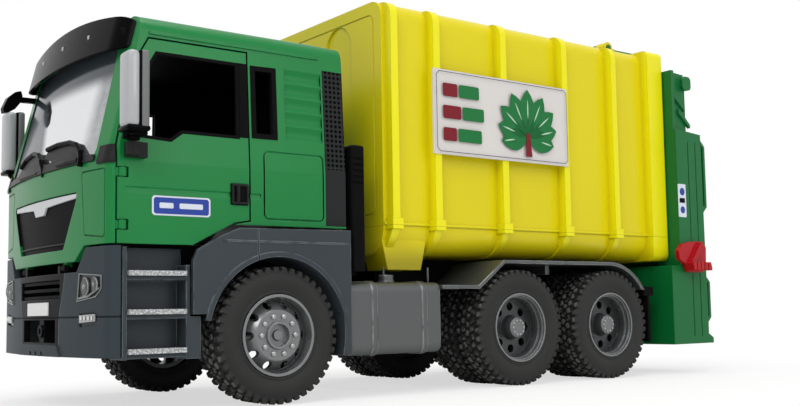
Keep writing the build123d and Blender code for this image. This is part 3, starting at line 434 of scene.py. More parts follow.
for name, solid in frame["nodes"].items():
    dress(name, finishes[node_slots[name]])
    if name in ("cab_shell", "door_left", "door_right"):
        solid.data.materials.append(inside_and_ear_shade)
        for face in solid.data.polygons:
            inward = face.normal.dot(face.center - cab_middle) < 0
            # The hinge ears are painted dark, as painted shade for the gap under the cab.
            ear = name == "cab_shell" and face.center.z < ear_top
            face.material_index = int(ear or (inward and face.center.z > door_foot))
print("dressed", len(node_slots), "solids")

# %% [markdown]
# ## Tools for new pieces
#
# A new piece is made in a bmesh, then becomes an object that rides on a body. Its place is in its
# mesh, as with the solids, so patterns on Object coordinates stay put. One tool takes a few steps
# and makes the piece from them. Others weld, round edges, turn a profile and copy a shape round
# an axle.


# %% Making a piece
def weld(mesh):
    """Joins vertices less than two micrometres apart."""
    bmesh.ops.remove_doubles(mesh, verts=mesh.verts, dist=0.000002)


def edges_of(verts):
    """Every edge that ends at one of a few vertices."""
    return list({edge for vert in verts for edge in vert.link_edges})


def soften(mesh, edges, amount, steps=2):
    """Rounds edges by an amount."""
    return bmesh.ops.bevel(
        mesh, geom=edges, offset=amount, segments=steps, profile=0.5, affect="EDGES", material=-1
    )


def piece(name, mesh, finish, body, slot_name=None, smooth=35):
    """Turns a bmesh into a finished piece on a body."""
    weld(mesh)
    data = bpy.data.meshes.new(name)
    mesh.to_mesh(data)
    mesh.free()
    data.materials.append(finish)
    made = bpy.data.objects.new(name, data)
    scene.collection.objects.link(made)
    if smooth:
        data.shade_smooth()
        data.set_sharp_from_angle(angle=radians(smooth))
    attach(made, body)
    return made


def build(name, finish, body, *steps, **options):
    """A piece from steps, each a tool with its values, such as (plate, outline, depth)."""
    mesh = bmesh.new()
    for tool, *values in steps:
        tool(mesh, *values)
    return piece(name, mesh, finish, body, **options)


both_sides = (("left", 1), ("right", -1))


def turned(mesh, profile, centre, steps=80):
    """Spins a closed profile of (along Y, radius) stations round an axle through a centre."""
    start = Vector(centre)
    points = [start + Vector((0, along, radius)) for along, radius in profile + profile[:1]]
    corners = [mesh.verts.new(point) for point in points]
    edges = [mesh.edges.new(pair) for pair in zip(corners, corners[1:])]
    bmesh.ops.spin(
        mesh, geom=corners + edges, cent=start, axis=(0, 1, 0), angle=2 * pi, steps=steps,
        use_merge=True,
    )
    weld(mesh)
    bmesh.ops.recalc_face_normals(mesh, faces=mesh.faces)


def copy_round(mesh, geometry, centre, count):
    """Copies geometry round an axle until there are as many of it as asked."""
    turn = 2 * pi * (count - 1) / count
    bmesh.ops.spin(
        mesh, geom=geometry, cent=centre, axis=(0, 1, 0), angle=turn, steps=count - 1,
        use_duplicate=True,
    )


print("tools for pieces and for turned shapes")

# %% [markdown]
# ## Tyres
#
# The wheels carry chunky all-terrain tyres: a soft bulging side wall, rounded lugs on each shoulder
# and rows of short slanted blocks between them. On a real tyre the tread is moulded with the
# carcass. Here the carcass is a spun profile, and each row of blocks starts from one cube that is
# tapered, slanted and copied round the axle. All ten tyres share this recipe.

# %% One row of blocks
block_count = 44
block_taper = (0.84, 0.86, 1.0)


def tread_row(mesh, centre, along, width, length, low, high, slant, phase, soft=0.00035):
    """Copies one tapered, soft-edged block round the axle."""
    block = bmesh.ops.create_cube(mesh, size=1.0)["verts"]
    bmesh.ops.scale(mesh, verts=block, vec=(length, width, high - low))
    top = [vert for vert in block if vert.co.z > 0]
    bmesh.ops.scale(mesh, verts=top, vec=block_taper)
    rounding = soften(mesh, edges_of(top), soft, 1)
    soft_verts = {vert for face in rounding["faces"] for vert in face.verts}
    block = list(soft_verts | {vert for vert in block if vert.is_valid})
    bmesh.ops.rotate(mesh, verts=block, cent=(0, 0, 0), matrix=Matrix.Rotation(slant, 3, "Z"))
    place = Vector(centre) + Vector((0, along, (low + high) / 2))
    bmesh.ops.translate(mesh, verts=block, vec=place)
    turn = Matrix.Rotation(phase * 2 * pi / block_count, 3, "Y")
    bmesh.ops.rotate(mesh, verts=block, cent=centre, matrix=turn)
    faces = list({face for vert in block for face in vert.link_faces})
    copy_round(mesh, block + faces, centre, block_count)


def tyre(mesh, centre, width):
    """A carcass and its five rows of blocks, centred on a point of the axle."""
    half = width / 2
    side = [
        (0.84, 0.0204), (0.925, 0.0206), (0.945, 0.0214), (0.915, 0.0221), (0.965, 0.0238),
        (0.995, 0.0258), (1.0, 0.0274), (0.985, 0.0290), (0.955, 0.0302), (0.91, 0.0314),
        (0.85, 0.0323), (0.70, 0.0326),
    ]
    outer = [(share * half, radius) for share, radius in side]
    inner = [(-share * half, radius) for share, radius in reversed(side)]
    carcass = bmesh.new()
    turned(carcass, outer + inner, centre)
    scratch = bpy.data.meshes.new("carcass")
    carcass.to_mesh(scratch)
    carcass.free()
    mesh.from_mesh(scratch)
    bpy.data.meshes.remove(scratch)
    row = width / 6.1
    for place, slant, phase in ((-1, 0.42, 0.0), (0, -0.42, 0.5), (1, 0.42, 0.0)):
        along, block_width = place * row * 1.08, row * 0.88
        tread_row(mesh, centre, along, block_width, 0.0037, 0.0320, 0.0339, slant, phase)
    for edge in (-1, 1):
        along, lug_width, slant = edge * half * 0.80, half * 0.30, 0.16 * edge
        tread_row(mesh, centre, along, lug_width, 0.0036, 0.0306, 0.0338, slant, 0.25, 0.0005)


print("five rows of", block_count, "blocks on each tyre")

# %% [markdown]
# Each front wheel has one wide tyre. At the back each hub carries a pair of narrower tyres a small
# gap apart.

# %% Fit the tyres
outer_face, front_width, twin_width, twin_gap = 0.077, 0.024, 0.0205, 0.0025
for side_name, side in both_sides:
    mesh = bmesh.new()
    middle_y = side * (outer_face - front_width / 2)
    tyre(mesh, (front_x, middle_y, tyre_radius), front_width)
    made = piece(f"tyre_front_{side_name}", mesh, rubber, f"front_wheel_{side_name}")
    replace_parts(made, f"front_tyre_{side_name}")
    for order, x in rear_xs.items():
        mesh = bmesh.new()
        for step in (0, 1):
            along = side * (outer_face - twin_width / 2 - step * (twin_width + twin_gap))
            tyre(mesh, (x, along, tyre_radius), twin_width)
        made = piece(f"tyres_{order}_{side_name}", mesh, rubber, f"{order}_rear_wheel_{side_name}")
        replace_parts(made, f"{order}_rear_tyres_{side_name}")
print("ten tyres,", len(made.data.polygons), "faces on the last pair")

# %% [markdown]
# ## Plates, rims, blocks and rods
#
# Most trim is a thin plate, a narrow rim round an outline, a block with soft edges or a bent rod.
# Each has a small function here. A plate is one face pushed along a direction. A rim is the same
# face inset first, with its middle taken away. A rod is a ring carried from point to point.


# %% Shapes for trim
def flat_face(mesh, points):
    """One face through an outline's points."""
    corners = [mesh.verts.new(point) for point in points]
    return bmesh.ops.contextual_create(mesh, geom=corners)["faces"]


def push(mesh, faces, depth):
    """Carries faces along a direction, leaving side walls behind them."""
    grown = bmesh.ops.extrude_face_region(mesh, geom=faces, use_keep_orig=True)["geom"]
    moved = [item for item in grown if isinstance(item, bmesh.types.BMVert)]
    bmesh.ops.translate(mesh, verts=moved, vec=depth)
    bmesh.ops.recalc_face_normals(mesh, faces=mesh.faces)


def plate(mesh, points, depth):
    """A thin plate with a given outline."""
    push(mesh, flat_face(mesh, points), depth)


def rim(mesh, points, border, depth):
    """A narrow rim just inside an outline."""
    faces = flat_face(mesh, points)
    edging = bmesh.ops.inset_region(
        mesh, faces=faces, thickness=border, use_even_offset=True, use_boundary=True
    )
    bmesh.ops.delete(mesh, geom=faces, context="FACES")
    push(mesh, edging["faces"], depth)


def block(mesh, centre, size, soft=0.0, steps=2):
    """A block whose edges are rounded by an amount."""
    verts = bmesh.ops.create_cube(mesh, size=1.0)["verts"]
    bmesh.ops.scale(mesh, verts=verts, vec=size)
    bmesh.ops.translate(mesh, verts=verts, vec=centre)
    if soft:
        soften(mesh, edges_of(verts), soft, steps)


def knob(mesh, centre, radius, length, axis="Y", sides=20, soft=0.0):
    """A round stud along an axis, from its foot outward."""
    turn = {"X": Matrix.Rotation(pi / 2, 4, "Y"), "Y": Matrix.Rotation(-pi / 2, 4, "X")}
    turn["-Y"] = Matrix.Rotation(pi / 2, 4, "X")
    turn["Z"] = Matrix.Identity(4)
    place = Matrix.Translation(centre) @ turn[axis] @ Matrix.Translation((0, 0, length / 2))
    made = bmesh.ops.create_cone(
        mesh, cap_ends=True, segments=sides, radius1=radius, radius2=radius, depth=length,
        matrix=place,
    )
    if soft:
        edges = edges_of(made["verts"])
        rings = [edge for edge in edges if any(len(face.verts) > 4 for face in edge.link_faces)]
        soften(mesh, rings, soft)


def rod(mesh, points, radius, sides=10):
    """A ring carried along a path, closed at both ends."""
    path = [Vector(point) for point in points]
    steps = [(after - before).normalized() for before, after in zip(path, path[1:])]
    heading = steps[0]
    turn = heading.to_track_quat("Z", "Y").to_matrix().to_4x4()
    start = Matrix.Translation(path[0]) @ turn
    ring = bmesh.ops.create_circle(
        mesh, cap_ends=True, segments=sides, radius=radius, matrix=start
    )
    end = list({face for vert in ring["verts"] for face in vert.link_faces})
    for index, place in enumerate(path[1:], start=1):
        grown = bmesh.ops.extrude_face_region(mesh, geom=end, use_keep_orig=index == 1)["geom"]
        verts = [item for item in grown if isinstance(item, bmesh.types.BMVert)]
        end = [item for item in grown if isinstance(item, bmesh.types.BMFace)]
        ahead = steps[min(index, len(steps) - 1)]
        facing = (steps[index - 1] + ahead).normalized()
        bmesh.ops.translate(mesh, verts=verts, vec=place - path[index - 1])
        swing = heading.rotation_difference(facing).to_matrix()
        bmesh.ops.rotate(mesh, verts=verts, cent=place, matrix=swing)
        heading = facing
    bmesh.ops.recalc_face_normals(mesh, faces=mesh.faces)


def mm(*values):
    """Millimetres as metres."""
    return tuple(value / 1000 for value in values)


def upright(points, y):
    """Places in an upright plane along the lorry, from millimetres along and up."""
    return [mm(x, y, z) for x, z in points]


print("plates, rims, blocks, studs and rods")

# %% [markdown]
# ## Wheel nuts
#
# The rims come with their dishes, holes and hubs already modelled. What is left is small: ten domed
# nuts round each hub. One nut is made and copied round the axle by a spin.

# %% Wheel nuts
nut_grey = plastic(
    "nut_grey_plastic", srgb(162, 164, 164), 0.20, grain=0.0, metal=0.6, slot="rim_grey"
)


def nut_ring(name, body, x, side, face_y, circle, size, length):
    """Nuts in a circle round an axle, standing on a face."""
    mesh = bmesh.new()
    centre = Vector((x, side * face_y, tyre_radius))
    start = centre + Vector((circle, -side * 0.0003, 0))
    knob(mesh, start, size, length, "Y" if side > 0 else "-Y", sides=14, soft=size * 0.45)
    copy_round(mesh, list(mesh.verts) + list(mesh.edges) + list(mesh.faces), centre, 10)
    return piece(name, mesh, nut_grey, body)


front_ring = (0.0755, 0.0095, 0.00135, 0.0014)
rear_ring = (0.0741, 0.0042, 0.0007, 0.0009)
for side_name, side in both_sides:
    body = f"front_wheel_{side_name}"
    nut_ring(f"front_nuts_{side_name}", body, front_x, side, *front_ring)
    for order, x in rear_xs.items():
        body = f"{order}_rear_wheel_{side_name}"
        nut_ring(f"{order}_nuts_{side_name}", body, x, side, *rear_ring)
print("ten nuts on each of six hubs")

# %% [markdown]
# ## The pierced strip
#
# The strip behind each door is pierced by rows of small holes. Here they are dots, painted near
# black as painted shade inside the holes: the fractional part of a coordinate tells how far along
# its cell a point is, once for each direction.

# %% The pierced strip
pierced, shader, place = new_material("pierced_black_plastic")
hole_pitch, hole_share, strip_foot = 0.0026, 0.33, 0.1185


def in_cell(value):
    """Where a coordinate lies in its cell, from -0.5 to 0.5."""
    return (value / hole_pitch).math("FRACT") - 0.5


up_cell = in_cell(place.part("Z"))
along_cell = in_cell(place.part("X"))
away = (up_cell * up_cell + along_cell * along_cell).math("SQRT")
holes = (away < hole_share) * (place.part("Z") > strip_foot)
feed(
    shader,
    Base_Color=holes.mix(srgb(44, 45, 46), srgb(2, 2, 2)),
    Roughness=0.5,
    IOR=1.1,
    Normal=rounded(place, 0.0004, 1.0 - holes, 0.5, 0.0006),
)
print("holes every", hole_pitch * 1000, "mm on the corner strips")

# %% [markdown]
# ## Bumper and treads
#
# The bumper is one moulding in two tones: a black panel in the middle, wider at its top, with a
# thin pale border. A mask of comparisons draws it. The step treads are bright and pebbled, which a
# Voronoi texture gives both as colour and as bump: the gaps between the pebbles are painted darker,
# as painted shade.

# %% Bumper and treads
bumper, shader, place = new_material("bumper_two_tone")
bumper_across = place.part("Y").math("ABSOLUTE")
bumper_up = place.part("Z")
panel_edge = ease(bumper_up, 0.040, 0.066) * 0.006 + 0.0272
in_panel = (bumper_across < panel_edge) * (bumper_up > 0.0315) * (place.part("X") > 0.20)
border_line = in_panel * (bumper_across > panel_edge - 0.0005)
two_tones = in_panel.mix(srgb(58, 65, 70), srgb(17, 17, 18))
feed(
    shader,
    Base_Color=border_line.mix(two_tones, srgb(98, 102, 104)),
    Roughness=satin(place, 0.36),
    IOR=1.12,
    Normal=rounded(place, 0.0010, noise(place, 2600), 0.15),
)

tread_silver, shader, place = new_material("tread_silver_plastic")
pebbles = place.node(
    "ShaderNodeTexVoronoi", {"feature": "F1"}, {"Vector": place, "Scale": 900.0}
)
# Painted shade: the pebbles' gaps are darker than their tops.
feed(
    shader,
    Base_Color=ease(pebbles, 0.15, 0.65).mix(srgb(205, 207, 209), srgb(150, 152, 154)),
    Roughness=0.3,
    Metallic=0.3,
    Normal=rounded(place, 0.0003, 1.0 - pebbles, 0.9, 0.0006),
)
print("two tones and pebbles")

# %% [markdown]
# ## Trim of the cab
#
# Some solids of the cab and bumper need another finish than their slot's.

# %% Trim of the cab
dark = {"shine": 0.5, "slot": "black_plastic"}
cowl_grey = plastic("cowl_grey_plastic", srgb(38, 38, 38), 0.34, grain=0.3, index=1.15, **dark)
visor_black = plastic("visor_black_plastic", srgb(9, 9, 10), 0.12, grain=0.0, index=1.09, **dark)
lamp_dark = plastic("lamp_dark_plastic", srgb(58, 60, 58), 0.10, grain=0.0, index=1.25, **dark)
lens_clear = plastic(
    "lens_plastic", srgb(168, 170, 168), 0.10, grain=0.12, grain_scale=900, **dark
)
trim = {
    "corner_grilles": pierced,
    "wiper_cowl": cowl_grey,
    "sun_visor": visor_black,
    "front_mirror": visor_black,
    "headlights": lamp_dark,
    "fog_lamps": lamp_dark,
    "pillar_caps": cowl_grey,
    "mirror_base_left": cowl_grey,
    "mirror_base_right": cowl_grey,
    "bumper": bumper,
    "step_treads": tread_silver,
}
for name, finish in trim.items():
    dress(name, finish)
print("another finish for", len(trim), "solids")

# %% [markdown]
# ## Wipers
#
# Each wiper is moulded as one lump on the cowl: a faceted cover, a short blade under it and an
# arched arm over it. The cab's front is gently curved and leans back above the belt line, so a
# small function gives the surface at any place across and up, never past the foremost solid.

# %% Wipers
belt, foremost = 115.5, 216.1
rake = tan(radians(14))


def on_nose(y, z, lift, half_width=74.0):
    """A point in front of the cab's or bumper's curved face, from millimetres."""
    lean = max(0.0, z - belt) * rake
    return Vector(mm(min(foremost, 216.5 + lift - 7 * (y / half_width) ** 2 - lean), y, z))


def across_nose(points, lift):
    """Points in front of the cab's face."""
    return [on_nose(y, z, lift) for y, z in points]


ahead = Vector((1, 0, 0))
covers = {
    "near": (
        (2, 124), (8, 128), (33, 127), (43, 124), (48.5, 120), (49, 117), (35, 118.5), (20, 119.5),
    ),
    "far": (
        (-42, 119), (-33, 126), (-22, 128), (-14, 127.4), (-2, 123.6), (3, 118), (-12, 116.8),
        (-34, 117),
    ),
}
blades = {"near": ((24, 118), (46, 118)), "far": ((-30, 117), (-4, 117))}
arms = {
    "near": ((6, 128), (20, 128.6), (33, 128), (41, 126), (47, 122), (49.6, 118), (49.8, 114.5)),
    "far": ((-36, 124), (-28, 127.5), (-16, 128.6), (-7, 127), (0, 123), (4, 118), (4.6, 114.5)),
}
for name in covers:
    (y0, z0), (y1, z1) = blades[name]
    blade = [on_nose(y0, z0, 0.8), on_nose((y0 + y1) / 2, z0, 1.2), on_nose(y1, z1, 0.8)]
    cover = (plate, across_nose(covers[name], -0.6), ahead * 0.0016)
    build(f"wiper_{name}", cowl_grey, "cab", cover, (rod, blade, 0.0013, 8))
    build(f"wiper_arm_{name}", visor_black, "cab", (rod, across_nose(arms[name], 1.3), 0.0013))
print("two wipers")

# %% [markdown]
# ## Visor and grille trim
#
# The visor is a grid bent to the brow of the cab, with rounded ends that wrap back, and three small
# marker lamps sit in it. Stays hold it to the cab. The grille gets a thin ledge along its foot.


# %% Visor, markers and grille
def on_visor(across, up):
    """A point of the visor, from -1 to 1 across it and from its foot to its brow."""
    y = 68.0 * across
    brow = 190.7 - 6.5 * across ** 2
    foot = 170.6 - 1.6 * across ** 2
    tuck = 1.0 - sqrt(max(0.0, 1.0 - max(0.0, (abs(across) - 0.90) / 0.10) ** 2))
    z = foot + (brow - foot) * (up + (0.5 - up) * 0.55 * tuck)
    lean = (z - belt) * rake
    wrap = 7.0 * max(0.0, (abs(y) - 57.0) / 11.0) ** 2
    return Vector(mm(222.0 - 7 * (y / 74.0) ** 2 - lean - wrap, y, z))


mesh = bmesh.new()
bmesh.ops.create_grid(mesh, x_segments=72, y_segments=10, size=1.0)
for vert in mesh.verts:
    vert.co = on_visor(vert.co.x, (vert.co.y + 1.0) / 2)
bmesh.ops.recalc_face_normals(mesh, faces=mesh.faces)
bmesh.ops.solidify(mesh, geom=list(mesh.faces), thickness=0.0012)
for y in (-62.0, 0.0, 62.0):
    block(mesh, on_visor(y / 68.0, 0.5) + Vector(mm(-4.0, 0, 0)), mm(7.0, 2.4, 5.0), 0.0004)
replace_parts(piece("visor_band", mesh, visor_black, "cab", "gloss_black", 60), "sun_visor")
markers = [(block, on_visor(y, 0.55), mm(0.8, 2.0, 2.2), 0.0004) for y in (-0.48, 0.0, 0.48)]
build("visor_markers", lens_clear, "cab", *markers)
ledge = [on_nose(y, 79.4, -0.6) for y in (-31.5, -16, 0, 16, 31.5)]
build("grille_ledge", cowl_grey, "cab", (rod, ledge, 0.0005, 6))
print("three markers and a ledge")

# %% [markdown]
# ## Headlights and fog lamps
#
# A dark lens fills each opening. On it sit a bright rim and two round reflectors, each a bright
# bowl with a darker heart. A fog lamp is a bright lens with four pale spots.

# %% Lamps of the bumper
headlight = ((46.8, 51.6), (64, 53.5), (68.4, 57.0), (68.5, 63.4), (48.6, 64.8))
fog_lamp = ((49.4, 41.9), (63.2, 42.6), (63.2, 45.9), (49.4, 45.4))


def on_bumper(y, z, lift):
    """A point ahead of the bumper's curved face."""
    return on_nose(y, z, lift, 75.0)


lamp_chrome = plastic(
    "lamp_chrome_plastic", srgb(138, 140, 140), 0.14, grain=0.0, metal=0.6, slot="silver_plastic"
)
bowls = ((54.0, 58.4, 4.4), (62.4, 59.2, 3.6))
for side_name, side in both_sides:
    edging, hearts = bmesh.new(), bmesh.new()
    rim(edging, [on_bumper(side * y, z, 0.1) for y, z in headlight], 0.0005, ahead * 0.0004)
    for y, z, radius in bowls:
        knob(edging, on_bumper(side * y, z, -0.4), radius / 1000, 0.0011, "X", 24, 0.0003)
        knob(hearts, on_bumper(side * y, z, 0.5), radius / 1130, 0.0003, "X", 24)
        knob(edging, on_bumper(side * y, z, 0.6), radius / 3200, 0.0005, "X", 16, 0.0002)
    foot_strip = ((48.6, 53.2), (57, 54.0), (66.6, 57.6))
    rod(edging, [on_bumper(side * y, z, 0.2) for y, z in foot_strip], 0.0006, 8)
    piece(f"headlight_trim_{side_name}", edging, lamp_chrome, "chassis")
    piece(f"headlight_hearts_{side_name}", hearts, lamp_dark, "chassis")
    mesh, spots = bmesh.new(), bmesh.new()
    plate(mesh, [on_bumper(side * y, z, 0.0) for y, z in fog_lamp], ahead * 0.0006)
    for y in (51.6, 54.6, 58.2, 61.2):
        block(spots, on_bumper(side * y, 44.1, 0.7), mm(0.4, 2.0, 2.0), 0.0003)
    piece(f"fog_spots_{side_name}", spots, white, "chassis")
    piece(f"fog_lens_{side_name}", mesh, lens_clear, "chassis")
print("two headlights and two fog lamps")

# %% [markdown]
# ## Mirrors
#
# The housing of each side mirror is a smooth front half, painted pale grey as a painted reflection
# of the studio's light, and a grained half behind it, with a dark seam between them. A black cup
# holds its foot, and a hooked arm joins the cup to the base on the door. Everything above the pivot
# swings with the mirror.

# %% Side mirrors
# The front half's pale grey is a painted reflection of the studio's light.
mirror_painted_reflection = plastic("mirror_painted_reflection_plastic", srgb(168, 170, 172), 0.12, grain=0.0, **dark)
mirror_grain = plastic(
    "mirror_grain_plastic", srgb(112, 114, 114), 0.5, grain=0.9, grain_scale=1600,
    slot="black_plastic",
)
for side_name, side in both_sides:
    body = f"mirror_{side_name}"
    parts = {
        "front": ((205.6, 145.2), (6.4, 11.6, 35.0), 2.6, mirror_painted_reflection),
        "back": ((200.6, 145.2), (4.4, 11.9, 35.4), 1.6, mirror_grain),
        "seam": ((202.7, 145.2), (1.4, 11.2, 34.2), 0.3, visor_black),
    }
    for part_name, ((x, z), size, soft, finish) in parts.items():
        shell = (block, mm(x, side * 86.4, z), mm(*size), soft / 1000, 4)
        build(f"mirror_{part_name}_{side_name}", finish, body, shell)
    hook = [(205.2, 84.5, 127.0), (206.2, 82.6, 125.6), (206.0, 81.2, 124.6), (203.4, 79.6, 125.0)]
    cup = build(
        f"mirror_cup_{side_name}", visor_black, body,
        (knob, mm(201, side * 79, 123.9), 0.0032, 0.0034, "Z", 20, 0.0004),
        (block, mm(203.4, side * 86.3, 127.6), mm(10.8, 12.1, 2.6), 0.0011, 3),
        (block, mm(200.4, side * 83.4, 126.1), mm(6.0, 9.0, 2.4), 0.0009, 3),
        (rod, [mm(x, side * y, z) for x, y, z in hook], 0.0011),
    )
    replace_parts(cup, f"mirror_{side_name}")
print("two mirrors")

# %% [markdown]
# ## Label and plate
#
# The left door carries a plain blue label with a white border and two pale bars. The number plate
# is blank, with a thin dark edge.

# %% Label and plate
printed = {"grain": 0.0, "slot": "white_board"}
label_blue = plastic("label_blue", srgb(34, 62, 150), 0.3, **printed)
label_pale = plastic("label_pale", srgb(214, 220, 232), 0.35, **printed)


def bar(x0, x1, z0, z1, corner):
    """A bar's outline from one end to the other, with its corners cut."""
    inset = corner if x1 > x0 else -corner
    return (
        (x0 + inset, z0), (x1 - inset, z0), (x1, z0 + corner), (x1, z1 - corner),
        (x1 - inset, z1), (x0 + inset, z1), (x0, z1 - corner), (x0, z0 + corner),
    )


outward = Vector((0, 1, 0))
ground = (plate, upright(bar(160.0, 189.6, 90.8, 100.0, 1.0), 74.0), outward * 0.00015)
build("door_label_edge", label_pale, "door_left", ground)
field = (plate, upright(bar(160.9, 188.7, 91.6, 99.2, 0.8), 74.15), outward * 0.0001)
build("door_label", label_blue, "door_left", field)
marks = [
    (plate, upright(bar(x0, x1, 94.2, 96.8, 0.4), 74.25), outward * 0.00008)
    for x0, x1 in ((164.0, 176.0), (179.0, 186.0))
]
build("door_label_marks", label_pale, "door_left", *marks)
plate_corners = ((-14.8, 45.8), (14.8, 45.8), (14.8, 51.8), (-14.8, 51.8))
plate_rim = (rim, across_nose(plate_corners, 0.62), 0.0004, ahead * 0.0001)
build("plate_edge", black, "chassis", plate_rim)
print("a label and a blank plate")

# %% [markdown]
# ## Window seals and handles
#
# The cab's sides lean in above the belt line, and so do the black seals round the windows and the
# strip on each door's rear edge. A frame and a bar make the handle.


# %% Seals and handles
def wall_y(z):
    """How far out the cab's side stands at a height, in millimetres."""
    return 74.0 - 3.5 * max(0.0, z - belt) / 70.5


def on_side(x, z, side, lift=0.0):
    """A point on the cab's side, which leans in above the belt line."""
    return mm(x, side * (wall_y(z) + lift), z)


strip = ((138.9, 131.0), (143.6, 131.0), (143.6, 168.4), (138.9, 168.4))
quarter = ((122.4, 131.4), (137.0, 131.2), (137.0, 168.0), (122.4, 168.4))
window = (
    (199.4, 126.6), (193.9, 156.2), (186.8, 168.4), (143.6, 168.4), (143.6, 130.1), (173.8, 130.1),
    (179.8, 125.6),
)
handle = ((139.9, 97.9), (148.9, 97.9), (148.9, 107.7), (139.9, 107.7))
handle_bar = ((75.0, 98.6), (75.3, 102.8), (75.0, 107.0))
for side_name, side in both_sides:
    across = outward * side
    door = f"door_{side_name}"
    seal = (rim, [on_side(x, z, side) for x, z in quarter], 0.0026, across * 0.0004)
    build(f"quarter_seal_{side_name}", black, "cab", seal)
    build(
        f"window_seal_{side_name}", black, door,
        (plate, [on_side(x, z, side) for x, z in strip], across * 0.0003),
        (rim, [on_side(x, z, side, -1.5) for x, z in window], 0.0016, across * 0.0016),
    )
    build(
        f"handle_frame_{side_name}", cowl_grey, door,
        (rim, upright(handle, side * 74.4), 0.0010, across * 0.0009),
        (rod, [mm(145.6, side * y, z) for y, z in handle_bar], 0.0009, 8),
    )
print("window trims and handles")

# %% [markdown]
# ## The sign on the container
#
# A pale board carries a generic design in dark red and green: three two-tone bars and a fan of
# leaves on a short stem. Each leaf is one outline whose half width follows a sine, pushed out by a
# hair. The board on the right side stays bare, in the container's yellow.

# %% The sign
board, shader, place = new_material("board_plastic")
feed(
    shader,
    Base_Color=(place.part("Y") > 0.0).mix(srgb(226, 214, 0), srgb(214, 210, 207)),
    Roughness=satin(place, 0.35),
    Specular_IOR_Level=0.25,
    Normal=rounded(place, 0.0004),
)
dress("sign_boards", board)
ink_green = plastic("ink_green", srgb(14, 108, 52), 0.4, **printed)
ink_red = plastic("ink_red", srgb(116, 12, 26), 0.4, **printed)
ink_grey = plastic("ink_grey", srgb(84, 88, 100), 0.4, **printed)
ink_pale = plastic("ink_pale", srgb(178, 214, 184), 0.4, **printed)
board_y, layer_height = 74.4, 0.02
ink_depth = outward * 0.00006


def print_on(mesh, points, layer=0):
    """Prints an outline on the board, a little further out for each layer."""
    plate(mesh, upright(points, board_y + layer * layer_height), ink_depth)


def leaf(foot, angle, length, half_width, steps=9):
    """A pointed leaf's outline that starts at its foot and leans by an angle."""
    points = []
    for step in range(2 * steps):
        side = 1 if step <= steps else -1
        share = step / steps if side > 0 else 2 - step / steps
        out = share * length
        bulge = side * half_width * abs(sin(pi * share)) ** 0.8
        x = foot[0] - out * sin(angle) - bulge * cos(angle)
        z = foot[1] + out * cos(angle) - bulge * sin(angle)
        points.append((x, z))
    return points


border = (rim, upright(bar(19.6, -85.6, 134.3, 180.7, 2.2), board_y), 0.0004, ink_depth)
build("sign_line", ink_grey, "chassis", border)
reds, greens = bmesh.new(), bmesh.new()
for z, red_end, green_end in ((166.4, 4.0, -12.5), (153.6, 1.5, -16.0), (140.8, 5.0, -14.0)):
    print_on(reds, bar(14.8, red_end, z, z + 7.6, 0.7))
    print_on(greens, bar(red_end - 1.2, green_end, z, z + 7.6, 0.7))
print("three bars")

# %% [markdown]
# The leaves fan out from one foot by angle and length. They overlap, so each has its own layer. A
# pale vein runs up the middle of each, and the red stem lies over their feet.

# %% The leaves
foot = (-51.5, 148.0)
fan = (
    (-100, 22), (-76, 25), (-52, 28), (-27, 29), (0, 29.5), (27, 29), (52, 28), (76, 25), (100, 22),
)
stem = ((-49.0, 136.2), (-50.0, 150.5), (-53.0, 150.5), (-54.4, 136.2))
vein_layer, stem_layer = 12, 14
veins = bmesh.new()
for index, (angle, length) in enumerate(fan):
    lean = radians(angle)
    print_on(greens, leaf(foot, lean, length, 6.8), index)
    vein_foot = (foot[0] - 11 * sin(lean), foot[1] + 11 * cos(lean))
    print_on(veins, leaf(vein_foot, lean, length * 0.42, 0.5), vein_layer)
print_on(reds, stem, stem_layer)
piece("sign_reds", reds, ink_red, "chassis", smooth=0)
piece("sign_greens", greens, ink_green, "chassis", smooth=0)
piece("sign_veins", veins, ink_pale, "chassis", smooth=0)
print(len(fan), "leaves on a stem")

# %% [markdown]
# ## The tank's cap
#
# The cap is a knob on a disc, with a thin pin above it, and a second pin stands at the tank's end.

# %% The tank's cap
build(
    "tank_cap", silver_grey, "chassis",
    (knob, mm(50, 65, 60.2), 0.0046, 0.0012, "Z", 20, 0.0004),
    (knob, mm(50, 65, 61.4), 0.0022, 0.0024, "Z", 20, 0.0006),
    (rod, [mm(49.5, 62, 61), mm(49.5, 62, 69)], 0.0005, 8),
    (rod, [mm(18.5, 62, 58), mm(18.5, 62, 69)], 0.0005, 8),
)
print("a cap and two pins")

# %% [markdown]
# ## Black liners
# ## Black sheets for painted shade
# Thin black sheets stand where the toy looks dark and closed and daylight would show through here:
# inside each front wheel arch, along the frame, behind the steps and under the nose. They are
# painted shade: dark sheets put in hollows whose darkness is shade.

